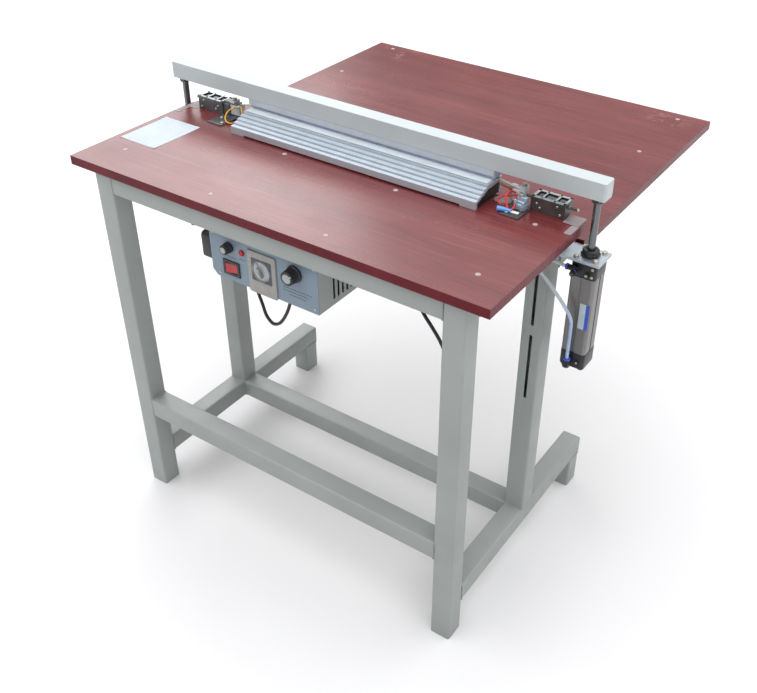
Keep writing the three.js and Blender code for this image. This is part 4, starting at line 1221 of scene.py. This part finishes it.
def make_timer():
    """A beige timer plate with a dark scale field, and a pale dial with a grip on it."""
    x, z, dial_z, y = -14.5, 643.0, 650.0, PANEL_Y
    dial = (x, dial_z)
    grip_turn = math.radians(118)
    layers = ((0, y - 0.3), (0, y - 2.0), (0.4, y - 2.7), (1.2, y - 3.0))
    plate = Shape().stack("y", (x, z), (60, 80), 3, layers, 5)
    plate.block((x - 21, y - 1, z - 29), (x + 21, y + 60, z + 29))
    plate.piece("timer_plate", "beige", slot="timer_beige", bevel=0.2, stands_for=["timer_body"])
    field = Shape().prism(rounded_rectangle(43, 43, 1.5), "y", y - 3.12, y - 2.9, centre=dial)
    field.piece("timer_scale", "ink", slot="timer_beige")
    marks = Shape()
    for i in range(31):
        outer = 20.6 if i % 5 == 0 else 19.8
        radial_mark(marks, dial, math.radians(225 - i * 9), 18.8, outer, 0.25, y - 3.2, y - 3.1)
    marks.piece("timer_ticks", "white", slot="timer_beige")
    rim = Shape().turned([
        (17.4, y - 3.0), (18.6, y - 3.0), (18.6, y - 4.6), (18.0, y - 5.4), (17.2, y - 5.4),
        (17.0, y - 4.2),
    ], "y", dial, 64)
    rim.piece("timer_dial_rim", "silver", "timer_setting", "dial_plastic", smooth=40)
    face = Shape().turned([
        (0, y - 5.0), (11.5, y - 5.0), (16.6, y - 4.4), (17.3, y - 3.6), (17.3, y - 2.4), (0, y - 2.4),
    ], "y", dial, 64)
    face.bar("y", y - 4, y + 8.8, dial, 2.3)
    face.piece(
        "timer_dial_disc", "dial", "timer_setting", "dial_plastic", smooth=40, stands_for=["timer_dial"],
    )
    rings = []
    cos, sin = math.cos(grip_turn), math.sin(grip_turn)
    for half_length, half_width, place in (
        (10.5, 4.2, y - 4.9), (10.2, 3.6, y - 8), (9.4, 2.8, y - 12.2), (8.4, 2.0, y - 13),
    ):
        ring = []
        for i in range(32):
            angle = math.tau * i / 32
            a, b = half_length * math.cos(angle), half_width * math.sin(angle)
            ring.append(Vector((x + a * cos - b * sin, place, dial_z + a * sin + b * cos)))
        rings.append(ring)
    grip = Shape().loft(rings)
    grip.piece("timer_dial_grip", "silver", "timer_setting", "dial_plastic", smooth=40)
    pointer = Shape()
    radial_mark(pointer, dial, grip_turn, 11, 16.4, 0.6, y - 5.2, y - 4.6)
    pointer.piece("timer_dial_pointer", "ink", "timer_setting", "dial_plastic")


def radial_mark(shape, centre, angle, inner, outer, half, front, back):
    """A short bar that points away from a centre on the panel."""
    out = Vector((math.cos(angle), 0, math.sin(angle)))
    side = Vector((-out.z, 0, out.x)) * half
    origin = Vector((centre[0], 0, centre[1]))
    near, far = origin + out * inner, origin + out * outer
    corners = [near - side, far - side, far + side, near + side]
    shape.loft([[c + Vector((0, y, 0)) for c in corners] for y in (front, back)])


def make_panel_marks():
    """Plain scale ticks round the knobs, bars in place of print, and the panel's corner screws."""
    front = span("control_panel")[0].y
    marks = Shape()
    for centre, inner in (((-85.5, 672), 11.4), ((54, 669), 17.2)):
        for i in range(11):
            angle = math.radians(240 - i * 30)
            radial_mark(marks, centre, angle, inner, inner + 1.8, 0.3, front - 0.12, front + 0.05)
    for x0, x1, z in ((-66, -50, 655), (28, 88, 636), (28, 80, 630), (40, 76, 624), (-98, -72, 652)):
        x = x0
        while x < x1:
            length = RANDOM.uniform(2.0, 5.5)
            end = min(x + length, x1)
            marks.block((x, front - 0.12, z), (end, front + 0.05, z + 1.5))
            x = end + RANDOM.uniform(0.8, 1.6)
    marks.piece("panel_marks", "ink", slot="panel_paint")
    screws = Shape()
    for x, z in ((-121, 690), (93, 690), (93, 614), (-112, 614)):
        screw(screws, (x, front, z), "y", -1, 2.8, 1.5)
    screws.piece("panel_screws", "bolt", slot="zinc_steel", smooth=50)


# ---------- tension blocks and what lies beside the jaw ----------
TABLE_Z = 755.0
BLOCK_TOP = 780.0
# (y, z) of the pull rods
PULL = (-162, 771)


def make_tension():
    for suffix, mirror in sides():
        dress(f"tension_block_{suffix}", "block_grey" if mirror else "block", 0.3)
        dress(f"tension_slide_{suffix}", "ceramic", 0.5)
        node = f"tension_spring_{suffix}"
        low, high = span(node)
        start = 0.6 + (-high.x if mirror else low.x)
        reach = high.x - low.x - 1.2
        spring = Shape().tube(helix(start, reach, 7, 24, 4.3), 0.6, 10)
        spring.piece(f"{node}_coil", "bolt", slot="zinc_steel", mirror=mirror, stands_for=[node])
        make_block_details(suffix, mirror)
        make_clamp_details(suffix, mirror)
    make_right_wiring()
    make_left_wiring()


def helix(start, reach, turns, steps, radius):
    """Points of a coil round the pull rod."""
    line = []
    for i in range(turns * steps + 1):
        angle = math.tau * i / steps
        y, z = PULL[0] + radius * math.cos(angle), PULL[1] + radius * math.sin(angle)
        line.append((start + reach * i / (turns * steps), y, z))
    return line


def make_block_details(suffix, mirror):
    """The block's light top frame, the plates under its windows, its screws and the foot plate's."""
    frame_top = Shape()
    low_z, high_z = BLOCK_TOP - 0.3, BLOCK_TOP + 0.7
    for x0, x1 in ((331.5, 336.5), (348.2, 350.8), (370.2, 373.8), (387.2, 391.5)):
        frame_top.block((x0, -176.6, low_z), (x1, -147.4, high_z))
    for y0, y1 in ((-176.6, -171.4), (-152.6, -147.4)):
        frame_top.block((331.5, y0, low_z), (391.5, y1, high_z))
    frame_top.piece(f"block_top_frame_{suffix}", "block_light", slot="block_steel", mirror=mirror, bevel=0.2)
    covers = Shape()
    for x0, x1 in ((337.6, 347.2), (351.8, 369.2), (374.8, 386.2)):
        covers.block((x0, -170.6, 776.5), (x1, -153.4, 777.6))
        covers.bar("z", 777.4, 778.4, ((x0 + x1) / 2, PULL[0]), 2.2, chamfer=0.3)
    covers.piece(f"block_inner_plates_{suffix}", "block_grey", slot="block_steel", mirror=mirror, bevel=0.3)
    screws = Shape()
    for x, z in ((342, 770), (348, 763.5), (378, 774), (384, 761)):
        screw(screws, (x, -177, z), "y", -1, 2.3, 1.6)
    for x, y in ((305, -208), (322, -190)):
        screw(screws, (x, y, 756.8), "z", 1, 3.6, 2.2)
    screws.hexagon("x", 392, 394, PULL, 7)
    screws.piece(f"block_screws_{suffix}", "bolt", slot="zinc_steel", mirror=mirror, smooth=50)
    under = TABLE_Z + 0.05
    pad = Shape().prism(rounded_rectangle(28, 31, 2), "z", under, under + 0.4, centre=(407, -168.5))
    pad.prism(rounded_rectangle(12, 30, 2), "z", under, under + 0.35, centre=(416, -200))
    pad.piece(f"adhesive_patch_{suffix}", "grey_patch", slot="table_laminate", mirror=mirror)


def make_clamp_details(suffix, mirror):
    """A cap screw and a washer on the clamp that holds the end of the heating strip."""
    body = f"strip_clamp_{suffix}"
    centre = (311, PULL[0])
    shape = Shape().bar("z", 786, 787, centre, 5.6, chamfer=0.2)
    shape.hexagon("z", 786.9, 790.6, centre, 8)
    shape.bar("x", 406.5, 408.5, PULL, 2.9)
    shape.piece(f"clamp_screw_{suffix}", "bolt", body, "zinc_steel", mirror, smooth=45)


def wire(name, points, material, radius):
    Shape().tube(smooth_line(points, 1.5), radius, 10).piece(name, material, slot="cord_rubber", smooth=60)


def make_right_wiring():
    """Red wires from the clamp to a blue lug, a stepped terminal, and a braid from the jaw to a post."""
    wire("red_wire_a", [
        (300, -172, 775), (296, -180, 779), (293, -188, 775), (297, -196, 767), (303, -202, 760.5),
        (300, -207, 758.8),
    ], "red_wire", 1.7)
    wire("red_wire_b", [
        (303, -171, 771), (307, -182, 775), (312, -192, 770), (313, -200, 763), (310, -206, 759.5),
    ], "red_wire", 1.7)
    wire("red_wire_c", [
        (292, -192, 757.5), (284, -194, 760), (279, -190, 764), (285, -183, 768), (296, -178, 771),
        (302, -172, 771),
    ], "red_wire", 1.5)
    line = [(290, -211, 760.4), (297, -209.5, 760.6), (305, -207.5, 760), (312, -206, 759.4)]
    lug = Shape().tube(smooth_line(line, 1.5), lambda s: 4.3 - 1.6 * s, 16)
    lug.piece("blue_lug_sleeve", "pale_blue", slot="cord_rubber", smooth=60)
    tip = Shape().prism(rounded_rectangle(15, 7, 2), "z", 757.4, 758.8, centre=(318, -204.5))
    tip.piece("blue_lug_tongue", "white", slot="zinc_steel", bevel=0.3)
    core = Shape().tube([(289.6, -211.1, 760.4), (293.5, -210.2, 760.5)], 2.4, 12)
    core.piece("blue_lug_core", "blue", slot="cord_rubber", smooth=60)

    terminal = Shape()
    terminal.block((309, -193, 757.5), (329, -178, 767))
    terminal.block((311, -191, 766), (327, -180, 772))
    terminal.block((309.5, -194.4, 762), (314.5, -192, 775))
    terminal.block((323.5, -194.4, 762), (328.5, -192, 773))
    terminal.block((313, -189.5, 771), (330, -181.5, 779.2))
    terminal.piece("terminal_block", "terminal", slot="clamp_ceramic", bevel=0.9)
    knob = Shape().bar("z", 779, 784.5, (318, -185.5), 4.6, 3.6)
    knob.piece("terminal_screw", "bolt", slot="zinc_steel")

    braid = []
    for i in range(121):
        share = i / 120
        y = -157 - 4 * share + 2.2 * math.cos(math.tau * share * 9)
        z = 776 - 3 * share + 2.2 * math.sin(math.tau * share * 9)
        braid.append((262 + 30 * share, y, z))
    Shape().tube(braid, 0.8, 8).piece("jaw_braid", "brass", slot="strip_alloy", smooth=60)
    post = Shape().block((281, -157, TABLE_Z + 0.3), (293, -145, 776))
    post.piece("braid_post", "block_light", slot="block_steel", bevel=0.8)
    outline = rounded_rectangle(30, 22, 9, 6)
    pad = Shape().prism(outline, "z", TABLE_Z + 0.05, TABLE_Z + 0.5, centre=(279, -172))
    pad.piece("grey_pad_right", "grey_patch", slot="table_laminate")


def make_left_wiring():
    """Yellow wires from the clamp to the table and the jaw, and a bridge beside the block."""
    wire("yellow_wire_a", [
        (-296, -170, 775), (-302, -178, 776), (-308, -188, 770), (-307, -196, 763), (-300, -202, 758.5),
        (-292, -203, 757.2), (-285, -200, 757.2),
    ], "yellow_wire", 1.4)
    wire("yellow_wire_b", [
        (-294, -168, 777), (-286, -174, 781), (-280, -179, 778), (-275, -182, 770), (-268, -184, 764),
    ], "yellow_wire", 1.2)
    bridge = Shape().block((-331, -174, 757.5), (-317, -151, 779))
    bridge.block((-334, -170, 777), (-300, -154, 781.5))
    bridge.piece("terminal_bridge", "block_grey", slot="block_steel", bevel=1.2)


# ---------- stage ----------
# the sky's brightness by the height of the direction, 0 at the horizon and 1 overhead
SKY = ((0.0, 0.35), (0.2, 0.40), (0.39, 0.45), (0.5, 0.95), (0.64, 2.5), (1.0, 2.5))
# name, place and aim in metres, width and height in metres, power in watts
LAMPS = (
    ("key", (-1.6, -2.2, 3.4), (0, 0, 0.4), 2.4, 2.4, 12),
    ("fill", (3.0, -0.8, 2.2), (0, 0, 0.5), 2.0, 2.0, 8),
    ("back", (-2.35, 1.5, 2.45), (0, -0.3, 0.75), 1.8, 1.5, 27),
)


def make_floor():
    surface = Surface("floor_paint", Roughness=0.9)
    surface.set("Base Color", surface.mix(surface.noise(1.5, 3), colour("d2d2d2"), colour("d6d6d6")))
    half = 60000
    floor = Shape().block((-half, -half, -6), (half, half, -0.2)).finished("floor", surface.material)


def make_world():
    world = bpy.data.worlds.new("studio")
    world.use_nodes = True
    tree = world.node_tree
    background = tree.nodes["Background"]
    place = tree.nodes.new("ShaderNodeTexCoord")
    split = tree.nodes.new("ShaderNodeSeparateXYZ")
    ramp = tree.nodes.new("ShaderNodeValToRGB")
    tree.links.new(place.outputs["Generated"], split.inputs[0])
    tree.links.new(split.outputs["Z"], ramp.inputs[0])
    tree.links.new(ramp.outputs[0], background.inputs["Color"])
    stops = ramp.color_ramp.elements
    for i, (position, value) in enumerate(SKY):
        stop = stops[i] if i in (0, len(SKY) - 1) else stops.new(position)
        stop.position = position
        stop.color = (value, value, value * 1.02, 1)
    background.inputs["Strength"].default_value = 0.9
    bpy.context.scene.world = world


def make_lamps():
    for name, place, aim, width, height, power in LAMPS:
        light = bpy.data.lights.new(name, "AREA")
        light.shape = "RECTANGLE"
        light.size = width
        light.size_y = height
        light.energy = power
        lamp = bpy.data.objects.new(name, light)
        lamp.location = place
        lamp.rotation_euler = (Vector(aim) - Vector(place)).to_track_quat("-Z", "Y").to_euler()
        bpy.context.scene.collection.objects.link(lamp)


make_camera()
MATERIALS = make_materials()
make_cord()
make_frame()
make_tables()
make_jaws()
make_cylinders()
make_air_supply()
make_control_box()
make_tension()
make_floor()
make_world()
make_lamps()
bpy.context.scene.view_settings.view_transform = "Standard"
